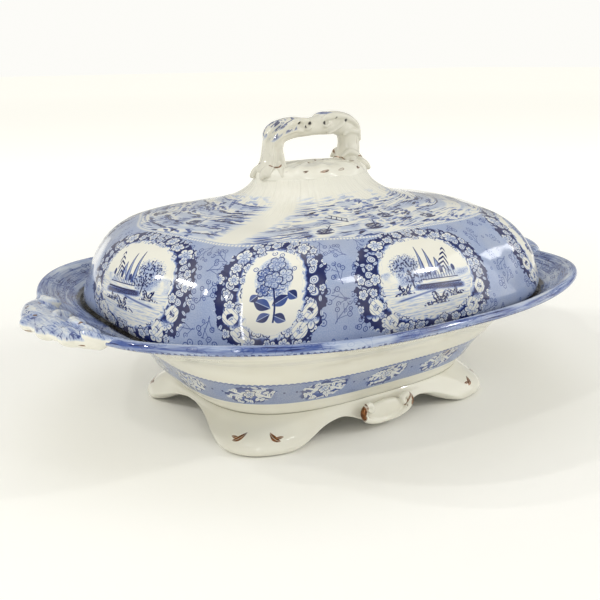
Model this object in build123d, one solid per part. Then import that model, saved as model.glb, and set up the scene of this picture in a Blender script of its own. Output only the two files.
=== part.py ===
from build123d import *
import math
import os

# Covered soup tureen in glazed earthenware. Millimetres, +Z up, +X along the length.
# The origin is the centre of the plane the four feet stand on.

# ---- driving dimensions -------------------------------------------------------
PLAN_POINTS = 48            # points round one plan section
STEPS_PER_KEY = 3           # skin bands between two key sections

RIM_HALF_LENGTH = 150.0     # bowl lip, without the end handles
RIM_HALF_WIDTH = 122.0
RIM_SQUARENESS = 2.76       # superellipse exponent of the lip in plan
RIM_CORNER_LIFT = 3.0       # how much the lip rises at its four corners
LIP_HEIGHT = 70.0           # widest line of the lip above the table
LIP_TOP = 73.0

BOWL_BASE = 17.0            # joint plane of bowl and foot
BOWL_FLOOR = 24.0           # inside floor of the bowl
LEDGE_HEIGHT = 62.0         # flat ledge the lid sits on
LEDGE_OUTER = (126.0, 105.0)
LEDGE_INNER = (112.0, 91.5)

FOOT_HALF_LENGTH = 88.5
FOOT_HALF_WIDTH = 68.0
SKIRT_WALL = 7.5
SIDE_ARCH_TOP = 10.0        # top of the low arches on the long sides
SIDE_ARCH_FOOT = 55.0       # where a corner foot starts on the long sides
PENDANT_BOTTOM = 3.5        # underside of the pendant between the two arches
END_ARCH_TOP = 12.5         # top of the single arch on each end
END_ARCH_FOOT = 42.0

HANDLE_TIP = 170.0          # end handle, from the centre
HANDLE_HALF_WIDTH = 45.0
HANDLE_ROOT = 143.0         # how far the tab runs back over the lip
HANDLE_MID_HEIGHT = 70.0

LID_CLEARANCE = 0.25        # lid above its ledge
LID_EDGE = (123.0, 101.6)
LID_LOBE_DEPTH = 0.012      # share of the radius between lobe and valley, half swing
LID_CROWN = 130.0           # flat top of the neck, under the collar
LOBES = 8

COLLAR_TOP = 135.0
LOOP_POST_X = 26.5
LOOP_GRIP_HEIGHT = 156.0
LOOP_BEND = 10.5            # centre-line radius where a post turns into the grip

SCROLL_Y = 66.0             # face of the long-side skirt that carries the scroll ornament
SCROLL_MID_HEIGHT = 9.3


# ---- shape helpers --------------------------------------------------------------
def plan_points(half_x, half_y, squareness, height, lift=0.0, lobe=0.0):
    """Points round a superellipse; lift raises the corners, lobe makes eight soft lobes."""
    points = []
    for index in range(PLAN_POINTS):
        angle = 2 * math.pi * index / PLAN_POINTS
        cos_a = math.cos(angle)
        sin_a = math.sin(angle)
        swell = 1 + lobe * (math.cos(LOBES * angle) - 1)
        x = half_x * math.copysign(abs(cos_a) ** (2 / squareness), cos_a) * swell
        y = half_y * math.copysign(abs(sin_a) ** (2 / squareness), sin_a) * swell
        z = height + lift * abs(math.sin(2 * angle)) ** 2
        points.append(Vector(x, y, z))
    return points


def plan_wire(section):
    """Closed smooth curve through plan_points."""
    return Wire([Edge.make_spline(plan_points(*section), periodic=True)])


def padded(section):
    """Section tuple with its left-out lift and lobe filled in as zero."""
    return tuple(section) + (0.0,) * (6 - len(section))


def eased_sections(keys):
    """Sections along a smooth curve through the key sections, STEPS_PER_KEY to each gap."""
    keys = [padded(key) for key in keys]
    gaps = [math.hypot(q[0] - p[0], q[3] - p[3]) for p, q in zip(keys, keys[1:])]
    slopes = [[(v - u) / gap for u, v in zip(p, q)] for p, q, gap in zip(keys, keys[1:], gaps)]
    tangents = [slopes[0]]
    for before, after, h0, h1 in zip(slopes, slopes[1:], gaps, gaps[1:]):
        tangents.append([(u * h1 + v * h0) / (h0 + h1) for u, v in zip(before, after)])
    tangents.append(slopes[-1])
    sections = []
    for p, q, m0, m1, gap in zip(keys, keys[1:], tangents, tangents[1:], gaps):
        for step in range(STEPS_PER_KEY):
            t = step / STEPS_PER_KEY
            h00 = 2 * t ** 3 - 3 * t ** 2 + 1
            h10 = (t ** 3 - 2 * t ** 2 + t) * gap
            h01 = 3 * t ** 2 - 2 * t ** 3
            h11 = (t ** 3 - t ** 2) * gap
            row = zip(p, q, m0, m1)
            sections.append([h00 * u + h01 * v + h10 * a + h11 * b for u, v, a, b in row])
    sections.append(keys[-1])
    return sections


def plan_loft(keys):
    """Solid skinned over the eased sections, closed by its flat first and last sections."""
    return Solid.make_loft([plan_wire(section) for section in eased_sections(keys)], ruled=True)


def mirrored_profile(right_side, bottom):
    """Closed profile: a smooth curve through right_side and its mirror, closed along bottom."""
    left_side = [(-u, v) for u, v in reversed(right_side) if u > 0]
    curve = Spline(*(left_side + right_side))
    start = curve @ 0
    end = curve @ 1
    edges = [
        curve,
        Line(end, (end.X, bottom)),
        Line((end.X, bottom), (start.X, bottom)),
        Line((start.X, bottom), start),
    ]
    return make_face(edges)


def tube_along(points, radii):
    """Round bar through points, its radius following radii, closed by its end sections."""
    path = Edge.make_spline([Vector(*point) for point in points])
    sections = []
    for index, radius in enumerate(radii):
        share = index / (len(radii) - 1)
        plane = Plane(origin=path.position_at(share), z_dir=path.tangent_at(share))
        sections.append(Wire.make_circle(radius, plane))
    return Solid.make_loft(sections)


# ---- bowl -----------------------------------------------------------------------
def make_bowl():
    """Flared dish: belly, wide everted lip with raised corners, flat ledge for the lid."""
    body = plan_loft([
        (80.0, 62.0, 3.2, BOWL_BASE),
        (84.0, 65.0, 3.1, 21.0),
        (89.0, 69.4, 3.0, 26.0),
        (94.0, 74.5, 3.0, 34.0),
        (99.0, 80.5, 3.0, 41.0),
        (106.0, 87.5, 2.9, 49.0),
        (116.5, 97.5, 2.8, 56.5),
        (133.0, 109.5, RIM_SQUARENESS, 63.0, 1.0),
        (147.0, 119.5, RIM_SQUARENESS, 67.3, RIM_CORNER_LIFT),
        (RIM_HALF_LENGTH, RIM_HALF_WIDTH, RIM_SQUARENESS, LIP_HEIGHT, RIM_CORNER_LIFT),
        (148.4, 120.5, RIM_SQUARENESS, LIP_TOP - 0.6, RIM_CORNER_LIFT),
        (146.0, 118.2, RIM_SQUARENESS, LIP_TOP - 1.2, RIM_CORNER_LIFT),
        (137.0, 112.0, 2.85, 67.3, RIM_CORNER_LIFT * 0.6),
        (129.0, 107.0, 2.95, 63.6),
        (*LEDGE_OUTER, 3.0, LEDGE_HEIGHT),
    ])
    cavity = plan_loft([
        (70.0, 52.0, 3.2, BOWL_FLOOR),
        (82.0, 62.5, 3.1, 28.0),
        (88.5, 69.0, 3.0, 35.0),
        (93.5, 74.5, 3.0, 42.0),
        (100.0, 81.0, 3.0, 49.5),
        (107.5, 88.0, 3.0, 56.0),
        (*LEDGE_INNER, 3.0, LEDGE_HEIGHT + 1),
    ])
    return body - cavity


# ---- foot -----------------------------------------------------------------------
def make_foot():
    """Hollow skirt on four splayed corner feet, arched between them on every side."""
    outside = plan_loft([
        (FOOT_HALF_LENGTH - 2.5, FOOT_HALF_WIDTH - 2.5, 5.6, 0.0),
        (FOOT_HALF_LENGTH, FOOT_HALF_WIDTH, 5.6, 3.0),
        (FOOT_HALF_LENGTH - 0.8, FOOT_HALF_WIDTH - 0.9, 5.4, 6.5),
        (FOOT_HALF_LENGTH - 3.6, FOOT_HALF_WIDTH - 3.2, 4.8, 10.5),
        (FOOT_HALF_LENGTH - 6.3, FOOT_HALF_WIDTH - 4.6, 4.0, 14.0),
        (81.0, 62.8, 3.4, BOWL_BASE),
    ])
    hollow = plan_loft([
        (FOOT_HALF_LENGTH - SKIRT_WALL - 2, FOOT_HALF_WIDTH - SKIRT_WALL - 2, 5.2, -1.0),
        (FOOT_HALF_LENGTH - SKIRT_WALL - 3, FOOT_HALF_WIDTH - SKIRT_WALL - 3, 4.9, 6.0),
        (75.0, 56.5, 4.0, 12.0),
        (73.0, 55.0, 3.4, BOWL_BASE + 1),
    ])
    side_arches = extrude(Plane.XZ * mirrored_profile([
        (0.0, PENDANT_BOTTOM),
        (9.0, PENDANT_BOTTOM + 0.4),
        (20.0, PENDANT_BOTTOM + 3.6),
        (28.0, SIDE_ARCH_TOP - 0.9),
        (36.0, SIDE_ARCH_TOP),
        (45.0, SIDE_ARCH_TOP - 2.3),
        (SIDE_ARCH_FOOT, 0.0),
        (SIDE_ARCH_FOOT + 1, -1.5),
    ], -6.0), amount=100, both=True)
    end_arch = extrude(Plane.YZ * mirrored_profile([
        (0.0, END_ARCH_TOP),
        (14.0, END_ARCH_TOP - 0.4),
        (26.0, END_ARCH_TOP - 3.0),
        (34.0, 5.6),
        (END_ARCH_FOOT, 0.0),
        (END_ARCH_FOOT + 2, -1.5),
    ], -6.0), amount=120, both=True)
    return outside - hollow - side_arches - end_arch


# ---- end handles -----------------------------------------------------------------
def handle_outline(inset, height):
    """Leaf-shaped tab in plan: three soft scallops on each side of the tip."""
    tip = HANDLE_TIP - inset
    half = HANDLE_HALF_WIDTH - inset
    right_side = [
        (HANDLE_ROOT, half - 5),
        (149.0 - inset * 0.3, half - 1.5),
        (155.5 - inset * 0.6, half - 7.5),
        (161.0 - inset, half - 12.5),
        (163.0 - inset, half - 21),
        (167.5 - inset, half - 30),
        (tip - 1.0, 5.0),
    ]
    points = [(x, y, height) for x, y in right_side]
    points += [(tip, 0, height)]
    points += [(x, -y, height) for x, y in reversed(right_side)]
    return Wire([Edge.make_spline([Vector(*p) for p in points]),
                 Edge.make_line(Vector(*points[-1]), Vector(*points[0]))])


def make_end_handle():
    """Scalloped tab on the end of the lip, with a raised scroll and two thumb hollows."""
    tab = Solid.make_loft([
        handle_outline(9.0, HANDLE_MID_HEIGHT - 6.5),
        handle_outline(2.5, HANDLE_MID_HEIGHT - 4.0),
        handle_outline(0.0, HANDLE_MID_HEIGHT - 0.5),
        handle_outline(1.5, HANDLE_MID_HEIGHT + 2.5),
        handle_outline(6.5, HANDLE_MID_HEIGHT + 4.2),
    ])
    scroll = tube_along([
        (154.0, -27.0, 73.0),
        (159.5, -15.0, 74.2),
        (156.0, -5.0, 75.2),
        (156.0, 5.0, 75.2),
        (159.5, 15.0, 74.2),
        (154.0, 27.0, 73.0),
    ], [1.2, 2.4, 3.0, 3.0, 3.0, 2.4, 1.2])
    handle = tab + scroll
    for side in (-1, 1):
        hollow = scale(Sphere(5.0), by=(0.9, 1.5, 0.8))
        handle -= Pos(151.5, side * 13.0, 76.0) * hollow
    return handle


# ---- scroll ornament on the foot ---------------------------------------------------
def make_foot_scroll():
    """Two C-scrolls either side of an oval panel, modelled low on the long-side skirt."""
    panel = Pos(0, -SCROLL_Y, SCROLL_MID_HEIGHT) * scale(Sphere(1.0), by=(11.0, 2.6, 5.0))
    ornament = panel
    for side in (-1, 1):
        bar = tube_along([
            (side * 7.0, -SCROLL_Y - 0.5, SCROLL_MID_HEIGHT + 4.4),
            (side * 12.5, -SCROLL_Y - 0.9, SCROLL_MID_HEIGHT + 5.0),
            (side * 15.6, -SCROLL_Y - 1.0, SCROLL_MID_HEIGHT + 1.2),
            (side * 13.4, -SCROLL_Y - 0.9, SCROLL_MID_HEIGHT - 2.8),
            (side * 7.5, -SCROLL_Y - 0.5, SCROLL_MID_HEIGHT - 3.9),
        ], [1.5, 1.9, 2.0, 1.7, 1.3])
        ornament += bar
    return ornament


# ---- lid ------------------------------------------------------------------------
def make_lid_cover():
    """Domed cushion of eight lobes that sweeps up into a neck; hollow underneath."""
    bottom = LEDGE_HEIGHT + LID_CLEARANCE
    lobe = LID_LOBE_DEPTH
    outside = plan_loft([
        (119.6, 98.4, 3.1, bottom),
        (122.3, 100.9, 3.1, bottom + 1.5),
        (*LID_EDGE, 3.1, bottom + 4.0, 0, lobe * 0.15),
        (124.6, 101.4, 3.0, 76.0, 0, lobe * 0.7),
        (121.0, 97.6, 2.9, 89.0, 0, lobe),
        (115.0, 91.6, 2.8, 98.5, 0, lobe),
        (106.5, 84.0, 2.75, 105.0, 0, lobe),
        (93.0, 73.0, 2.7, 109.8, 0, lobe),
        (73.0, 57.5, 2.6, 113.3, 0, lobe * 0.8),
        (55.5, 42.0, 2.5, 116.6, 0, lobe * 0.5),
        (44.5, 31.5, 2.4, 120.4, 0, lobe * 0.2),
        (38.5, 25.0, 2.3, 125.0),
        (35.5, 21.0, 2.2, LID_CROWN),
    ])
    hollow = plan_loft([
        (114.6, 93.2, 3.1, bottom - 1),
        (118.6, 96.4, 3.0, 70.0),
        (119.0, 95.8, 3.0, 77.0, 0, lobe * 0.7),
        (115.0, 91.6, 2.9, 88.0, 0, lobe),
        (108.0, 85.0, 2.8, 96.5, 0, lobe),
        (98.5, 76.5, 2.7, 102.0, 0, lobe),
        (82.0, 64.0, 2.65, 106.4, 0, lobe * 0.8),
        (58.0, 44.0, 2.5, 110.0, 0, lobe * 0.4),
        (40.0, 27.5, 2.4, 114.5),
        (32.0, 19.0, 2.3, 121.5),
    ])
    return outside - hollow


def make_collar():
    """Low folded collar that the loop handle stands on."""
    return plan_loft([
        (36.6, 22.0, 2.2, LID_CROWN),
        (38.4, 23.2, 2.2, LID_CROWN + 1.6, 0, 0.03),
        (36.5, 20.5, 2.3, LID_CROWN + 3.6, 0, 0.03),
        (33.0, 14.5, 2.4, COLLAR_TOP, 0, 0.02),
    ])


def make_loop_handle():
    """Squarish arched grip modelled like a knotty branch."""
    low = COLLAR_TOP - 3.0
    knee = LOOP_GRIP_HEIGHT - LOOP_BEND
    turn = LOOP_BEND * (1 - math.sin(math.pi / 4))
    half = [
        (LOOP_POST_X + 1.0, low),
        (LOOP_POST_X + 0.8, low + 7.0),
        (LOOP_POST_X, knee),
        (LOOP_POST_X - turn, LOOP_GRIP_HEIGHT - turn),
        (LOOP_POST_X - LOOP_BEND, LOOP_GRIP_HEIGHT),
    ]
    points = [(-x, 0, z) for x, z in half]
    points += [(0, 0, LOOP_GRIP_HEIGHT + 0.3)]
    points += [(x, 0, z) for x, z in reversed(half)]
    half_radii = [7.4, 6.4, 5.7, 5.8, 6.6, 6.9, 6.0, 5.6]
    return tube_along(points, half_radii + [5.8] + half_radii[::-1])


# ---- assembly ---------------------------------------------------------------------
bowl = make_bowl()
right_handle = make_end_handle()
front_scroll = make_foot_scroll()

nodes = {
    "tureen_bowl": bowl,
    "pedestal_foot": make_foot(),
    "right_end_handle": right_handle,
    "left_end_handle": mirror(right_handle, Plane.YZ),
    "front_foot_scroll": front_scroll,
    "back_foot_scroll": mirror(front_scroll, Plane.XZ),
    "lid_cover": make_lid_cover(),
    "lid_handle_collar": make_collar(),
    "lid_loop_handle": make_loop_handle(),
}

os.makedirs("parts", exist_ok=True)
for name, shape in nodes.items():
    export_step(shape, f"parts/{name}.step")
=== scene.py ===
import bmesh
import bpy
import math
import numpy as np
from mathutils import Matrix, Vector


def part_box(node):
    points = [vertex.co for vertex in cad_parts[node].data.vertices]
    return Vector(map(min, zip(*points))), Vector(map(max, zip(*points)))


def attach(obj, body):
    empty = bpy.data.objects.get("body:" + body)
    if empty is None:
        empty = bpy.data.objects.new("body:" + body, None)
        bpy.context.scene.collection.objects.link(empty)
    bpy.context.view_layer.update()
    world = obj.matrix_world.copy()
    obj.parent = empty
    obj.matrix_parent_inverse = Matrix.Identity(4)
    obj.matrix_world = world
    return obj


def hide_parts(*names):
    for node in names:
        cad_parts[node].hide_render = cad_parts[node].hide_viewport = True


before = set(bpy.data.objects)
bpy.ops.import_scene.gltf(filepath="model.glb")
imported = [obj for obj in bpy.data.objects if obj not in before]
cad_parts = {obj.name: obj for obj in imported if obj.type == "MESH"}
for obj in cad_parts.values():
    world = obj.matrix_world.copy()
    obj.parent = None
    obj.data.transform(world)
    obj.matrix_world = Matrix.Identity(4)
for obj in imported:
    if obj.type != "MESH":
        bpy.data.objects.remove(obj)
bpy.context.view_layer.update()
MM = 0.001


# =============================================================================
# Heights and sizes read from the frame, in millimetres
# =============================================================================
def box_mm(node):
    near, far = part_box(node)
    return np.array(near) / MM, np.array(far) / MM


BOWL_LOW, BOWL_HIGH = box_mm("tureen_bowl")
FOOT_HIGH = box_mm("pedestal_foot")[1]
LID_LOW, LID_HIGH = box_mm("lid_cover")
COLLAR_HIGH = box_mm("lid_handle_collar")[1]
SCROLL_LOW, SCROLL_HIGH = box_mm("front_foot_scroll")

BASE_Z = BOWL_LOW[2]                  # joint plane of bowl and foot
LID_Z = LID_LOW[2]                    # underside of the lid's edge
CROWN_Z = LID_HIGH[2]                 # where the collar starts
COLLAR_Z = COLLAR_HIGH[2]
RIM_A = BOWL_HIGH[0]
RIM_B = BOWL_HIGH[1]
FOOT_A = FOOT_HIGH[0]
FOOT_B = FOOT_HIGH[1]
LOBES = 8
FULL_TURN = 6.283                     # in radians, for patterns turned at random


# =============================================================================
# Plan sections and skins
# =============================================================================
def oval(a, b, n, angles):
    """Superellipse of half sizes a and b and squareness n."""
    c, s = np.cos(angles), np.sin(angles)
    return a * np.sign(c) * np.abs(c) ** (2 / n), b * np.sign(s) * np.abs(s) ** (2 / n)


def plan(section, angles):
    """Section round the object (half x, half y, squareness, z, corner lift, lobe depth)."""
    a, b, n, z, lift, lobe = section
    x, y = oval(a, b, n, angles)
    swell = 1 + lobe * (np.cos(LOBES * angles) - 1)
    return np.stack([x * swell, y * swell, z + lift * np.sin(2 * angles) ** 2], -1)


def filled(keys):
    """Key sections as rows of six numbers, with no lift and no lobes where none are given."""
    return np.array([list(key) + [0.0] * (6 - len(key)) for key in keys], float)


def blended(t, gap, start, slope, end, end_slope):
    """Smooth curve between two values with given slopes, where t is 0 to 1 across the gap."""
    return ((2 * t ** 3 - 3 * t ** 2 + 1) * start + (t ** 3 - 2 * t ** 2 + t) * gap * slope
            + (3 * t ** 2 - 2 * t ** 3) * end + (t ** 3 - t ** 2) * gap * end_slope)


def eased(keys, steps):
    """Rows on a smooth curve through the key sections, evenly stepped in each gap."""
    keys = filled(keys)
    gaps = np.hypot(np.diff(keys[:, 0]), np.diff(keys[:, 3]))
    slopes = np.diff(keys, axis=0) / gaps[:, None]
    tangents = [slopes[0]]
    for i in range(len(slopes) - 1):
        h0, h1 = gaps[i], gaps[i + 1]
        tangents.append((slopes[i] * h1 + slopes[i + 1] * h0) / (h0 + h1))
    tangents.append(slopes[-1])
    rows = []
    for i, gap in enumerate(gaps):
        count = max(2, int(round(gap / steps)))
        for t in np.arange(count) / count:
            rows.append(blended(t, gap, keys[i], tangents[i], keys[i + 1], tangents[i + 1]))
    rows.append(keys[-1])
    return rows


def even_angles(section, count):
    """Angles at equal steps of arc round a section, starting on +X."""
    dense = np.linspace(0, 2 * np.pi, 7201)
    line = plan(section, dense)[:, :2]
    run = np.concatenate([[0], np.cumsum(np.hypot(*np.diff(line, axis=0).T))])
    steps = np.linspace(0, run[-1], count + 1)
    return np.interp(steps[:-1], run, dense), steps


def new_piece(name, mesh, material):
    """Smooth-shaded object in the scene."""
    piece = bpy.data.objects.new(name, mesh)
    bpy.context.scene.collection.objects.link(piece)
    mesh.materials.append(material)
    for face in mesh.polygons:
        face.use_smooth = True
    return piece


def ring_band(first, count):
    """Quads from the ring of corners that starts at first to the next ring."""
    turns = [(c, (c + 1) % count) for c in range(count)]
    return [(first + c, first + d, first + count + d, first + count + c) for c, d in turns]


def ring_fan(hub, first, count, flip):
    """Triangles from one corner to the ring of corners that starts at first."""
    sides = [(first + c, first + (c + 1) % count) for c in range(count)]
    return [(hub, q, p) if flip else (hub, p, q) for p, q in sides]


def skin(name, points, along, up, material, capped=True):
    """Tube of quads from points[row][column]; the UV is (along, up) in millimetres."""
    rows, cols = points.shape[:2]
    mesh = bpy.data.meshes.new(name)
    verts = (points.reshape(-1, 3) * MM).tolist()
    faces = []
    uvs = []
    for r in range(rows - 1):
        faces += ring_band(r * cols, cols)
        for c in range(cols):
            uvs += [(along[c], up[r]), (along[c + 1], up[r]),
                    (along[c + 1], up[r + 1]), (along[c], up[r + 1])]
    for row, flip in ((0, True), (rows - 1, False)) if capped else ():
        faces += ring_fan(len(verts), row * cols, cols, flip)
        verts.append((points[row].mean(0) * MM).tolist())
        for c in range(cols):
            uvs += [(along[c], up[row])] * 3
    mesh.from_pydata(verts, [], faces)
    layer = mesh.uv_layers.new(name="glaze")
    layer.data.foreach_set("uv", np.array(uvs, float).ravel())
    mesh.validate()
    return new_piece(name, mesh, material)


def profile_run(points):
    """Length up the mean profile of a skin, row by row."""
    step = np.linalg.norm(np.diff(points, axis=0), axis=2).mean(1)
    return np.concatenate([[0], np.cumsum(step)])


# =============================================================================
# Node maths: a small expression layer over shader nodes
# =============================================================================
class Sheet:
    """The node tree that is being drawn, and the motifs drawn so far."""
    tree = None
    motifs = {}


def node(kind, **settings):
    made = Sheet.tree.nodes.new(kind)
    for key, value in settings.items():
        setattr(made, key, value)
    return made


def link(output, socket):
    Sheet.tree.links.new(output, socket)


def feed(socket, value):
    """Give a socket a plain value, or what varies over the surface."""
    if isinstance(value, (Expr, Tint)):
        link(value.socket, socket)
    else:
        socket.default_value = value


def maths(operation, *values):
    made = node("ShaderNodeMath", operation=operation)
    for socket, value in zip(made.inputs, values):
        feed(socket, value)
    return Expr(made.outputs[0])


def clipped(x, gain, offset):
    """x * gain + offset, held between 0 and 1 by a node of its own."""
    scaled = maths("MULTIPLY_ADD", x, gain, offset)
    made = node("ShaderNodeClamp")
    feed(made.inputs[0], scaled)
    return Expr(made.outputs[0])


class Expr:
    """A number that varies over the surface."""

    def __init__(self, socket):
        self.socket = socket

    def __neg__(self):
        return maths("MULTIPLY", self, -1.0)

    def __pow__(self, other):
        return maths("POWER", self, other)

    def __abs__(self):
        return maths("ABSOLUTE", self)


def add_operator(name, operation):
    """Let an Expr stand on either side of one arithmetic sign."""
    setattr(Expr, f"__{name}__", lambda self, other: maths(operation, self, other))
    setattr(Expr, f"__r{name}__", lambda self, other: maths(operation, other, self))


for sign, operation in (("add", "ADD"), ("sub", "SUBTRACT"), ("mul", "MULTIPLY"), ("truediv", "DIVIDE")):
    add_operator(sign, operation)


def sin(x):
    return maths("SINE", x)


def cos(x):
    return maths("COSINE", x)


def low(x, y):
    return maths("MINIMUM", x, y)


def high(x, y):
    return maths("MAXIMUM", x, y)


def length(x, y):
    return maths("SQRT", x * x + y * y)


def below(x, limit):
    return maths("LESS_THAN", x, limit)


def beyond(x, limit):
    return maths("GREATER_THAN", x, limit)


def turn_of(y, x):
    return maths("ARCTAN2", y, x)


def wrap(x, lo, hi):
    return maths("WRAP", x, hi, lo)


def inside(distance, soft=0.12):
    """1 where a signed distance in millimetres is below zero, with a soft edge."""
    return clipped(distance, -0.5 / soft, 0.5)


def stroke(distance, width, soft=0.12):
    """1 within half a stroke's width of a line given by its distance."""
    return clipped(abs(distance), -0.5 / soft, 0.5 + width / 4 / soft)


def span(x, lo, hi, soft=0.12):
    """1 between two values."""
    return stroke(x - (lo + hi) / 2, hi - lo, soft)


def ramp(x, lo, hi):
    """0 below lo, 1 above hi, straight between."""
    return clipped(x, 1.0 / (hi - lo), -lo / (hi - lo))


def both(*masks):
    out = masks[0]
    for mask in masks[1:]:
        out = out * mask
    return out


def either(*masks):
    out = masks[0]
    for mask in masks[1:]:
        out = high(out, mask)
    return out


def outside(mask):
    return 1.0 - mask


def laid(ink, pattern, mask):
    """The ink, with a pattern in its place where mask is 1."""
    return ink * outside(mask) + pattern * mask


class Spot:
    """A place to sample a pattern at, kept as three numbers and joined where it is used."""

    def __init__(self, *parts):
        self.parts = parts
        self.joined = None

    def socket(self):
        if self.joined is None:
            made = node("ShaderNodeCombineXYZ")
            for socket, value in zip(made.inputs, self.parts):
                feed(socket, value)
            self.joined = made.outputs[0]
        return self.joined


def place(x, y, z=0.0):
    return Spot(x, y, z)


def noise(where, scale, detail=2.0, rough=0.5, warp=0.0):
    """Smooth noise from 0 to 1 at a scale in cycles per millimetre."""
    at = where.socket()
    made = node("ShaderNodeTexNoise", noise_dimensions="3D")
    link(at, made.inputs["Vector"])
    made.inputs["Scale"].default_value = scale
    made.inputs["Detail"].default_value = detail
    made.inputs["Roughness"].default_value = rough
    made.inputs["Distortion"].default_value = warp
    return Expr(made.outputs["Fac"])


def scatter(where, scale, spread=1.0):
    """Nearest scattered point: offset from it in millimetres, and two random numbers."""
    at = where.socket()
    made = node("ShaderNodeTexVoronoi", voronoi_dimensions="2D", feature="F1")
    link(at, made.inputs["Vector"])
    made.inputs["Scale"].default_value = scale
    made.inputs["Randomness"].default_value = spread
    offset = []
    for part, axis in zip(where.parts, ((1.0, 0.0, 0.0), (0.0, 1.0, 0.0))):
        along = node("ShaderNodeVectorMath", operation="DOT_PRODUCT")
        link(made.outputs["Position"], along.inputs[0])
        along.inputs[1].default_value = axis
        offset.append(part - Expr(along.outputs["Value"]))
    tint = node("ShaderNodeSeparateColor")
    link(made.outputs["Color"], tint.inputs[0])
    return *offset, Expr(tint.outputs[0]), Expr(tint.outputs[1])


def spun(x, y, angle):
    """Local x, y turned by an angle that may vary."""
    c, s = cos(angle), sin(angle)
    return x * c + y * s, y * c - x * s


def turned(x, y, degrees):
    """Local x, y turned by a fixed angle."""
    c, s = math.cos(math.radians(degrees)), math.sin(math.radians(degrees))
    return x * c + y * s, y * c - x * s


def motif(draw):
    """A pattern drawn once, as a node group, and placed as often as it is called."""
    def placed(*given):
        flat = []
        for value in given:
            flat.extend(value.parts if isinstance(value, Spot) else [value])
        group = Sheet.motifs.get(draw.__name__)
        if not group:
            group = bpy.data.node_groups.new(draw.__name__, "ShaderNodeTree")
            for _ in flat:
                group.interface.new_socket(name="in", in_out="INPUT", socket_type="NodeSocketFloat")
            outer, Sheet.tree = Sheet.tree, group
            sockets = iter(node("NodeGroupInput").outputs)
            inner = [Spot(*(Expr(next(sockets)) for _ in value.parts)) if isinstance(value, Spot)
                     else Expr(next(sockets)) for value in given]
            results = draw(*inner)
            results = results if isinstance(results, tuple) else (results,)
            for _ in results:
                group.interface.new_socket(name="out", in_out="OUTPUT", socket_type="NodeSocketFloat")
            end = node("NodeGroupOutput")
            for socket, value in zip(end.inputs, results):
                feed(socket, value)
            Sheet.tree = outer
            Sheet.motifs[draw.__name__] = group
        used = node("ShaderNodeGroup", node_tree=group)
        for socket, value in zip(used.inputs, flat):
            feed(socket, value)
        outs = [Expr(socket) for socket in used.outputs]
        return outs[0] if len(outs) == 1 else outs
    return placed


def split(vector):
    """The three numbers in a vector."""
    made = node("ShaderNodeSeparateXYZ")
    link(vector, made.inputs[0])
    return [Expr(out) for out in made.outputs]


def glaze_coordinates():
    """Millimetres along and up the skin, and the two as a place to sample patterns at."""
    u, v, _ = split(node("ShaderNodeUVMap", uv_map="glaze").outputs[0])
    return u, v, Spot(u, v, 0.0)


def body_coordinates():
    """Place on the object, in millimetres."""
    return [part * 1000.0 for part in split(node("ShaderNodeTexCoord").outputs["Object"])]


class Tint:
    """A colour that varies over the surface."""

    def __init__(self, socket):
        self.socket = socket


def paint(under, over, mask):
    """Colour over laid on colour under where mask is 1."""
    made = node("ShaderNodeMix", data_type="RGBA", blend_type="MIX")
    feed(made.inputs["Factor"], mask)
    for socket, colour in ((made.inputs[6], under), (made.inputs[7], over)):
        feed(socket, colour if isinstance(colour, Tint) else (*colour, 1.0))
    return Tint(made.outputs[2])


def srgb(r, g, b):
    """Linear colour from 0-255 display values."""
    out = []
    for value in (r, g, b):
        v = value / 255
        out.append(v / 12.92 if v <= 0.04045 else ((v + 0.055) / 1.055) ** 2.4)
    return tuple(out)


# =============================================================================
# Bowl
# =============================================================================
RIM_N = 2.76
RIM_LIFT = 3.0
LEDGE_Z = LID_Z - 0.25
LIP_Z = BOWL_HIGH[2] - RIM_LIFT       # crest of the lip at the middle of each side
BOWL_OUT = [
    (80.0, 62.0, 3.2, BASE_Z),
    (81.6, 63.4, 3.15, BASE_Z + 1.2),
    (84.0, 65.0, 3.1, 21.0),
    (89.0, 69.4, 3.0, 26.0),
    (94.0, 74.5, 3.0, 34.0),
    (99.0, 80.5, 3.0, 41.0),
    (106.0, 87.5, 2.9, 49.0),
    (116.5, 97.5, 2.8, 56.5),
    (133.0, 109.5, RIM_N, 63.0, 1.0),
    (146.6, 119.2, RIM_N, 67.2, RIM_LIFT),
]
LIP = [
    (148.8, 121.0, RIM_N, 68.1, RIM_LIFT),
    (RIM_A, RIM_B, RIM_N, 70.0, RIM_LIFT),
    (149.4, 121.5, RIM_N, LIP_Z - 0.8, RIM_LIFT),
    (147.6, 119.9, RIM_N, LIP_Z, RIM_LIFT),
    (145.4, 117.9, RIM_N, LIP_Z - 0.7, RIM_LIFT),
    (137.0, 112.6, 2.85, 67.9, RIM_LIFT * 0.6),
    (130.4, 107.8, 2.95, 65.6, RIM_LIFT * 0.2),
    (126.8, 105.2, 3.0, 64.2),
]
BOWL_IN = [
    (126.0, 104.5, 3.0, 63.6),
    (125.6, 104.1, 3.0, LEDGE_Z + 0.4),
    (125.0, 103.6, 3.0, LEDGE_Z),
    (113.2, 92.7, 3.0, LEDGE_Z),
    (111.8, 91.3, 3.0, LEDGE_Z - 0.9),
    (107.5, 88.0, 3.0, 56.0),
    (100.0, 81.0, 3.0, 49.5),
    (93.5, 74.5, 3.0, 42.0),
    (88.5, 69.0, 3.0, 35.0),
    (82.0, 62.5, 3.1, 28.4),
    (68.0, 50.0, 3.1, 24.2),
    (48.0, 34.0, 3.0, 23.6),
    (24.0, 16.0, 2.8, 23.4),
]
BOWL_COLS = 420
BOWL_BELLY = eased(BOWL_OUT, 1.6)
BOWL_CAVITY = eased([LIP[-1]] + BOWL_IN, 1.9)
BOWL_ROWS = BOWL_BELLY[:-1] + eased([BOWL_OUT[-1]] + LIP, 0.7)[:-1] + BOWL_CAVITY
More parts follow.
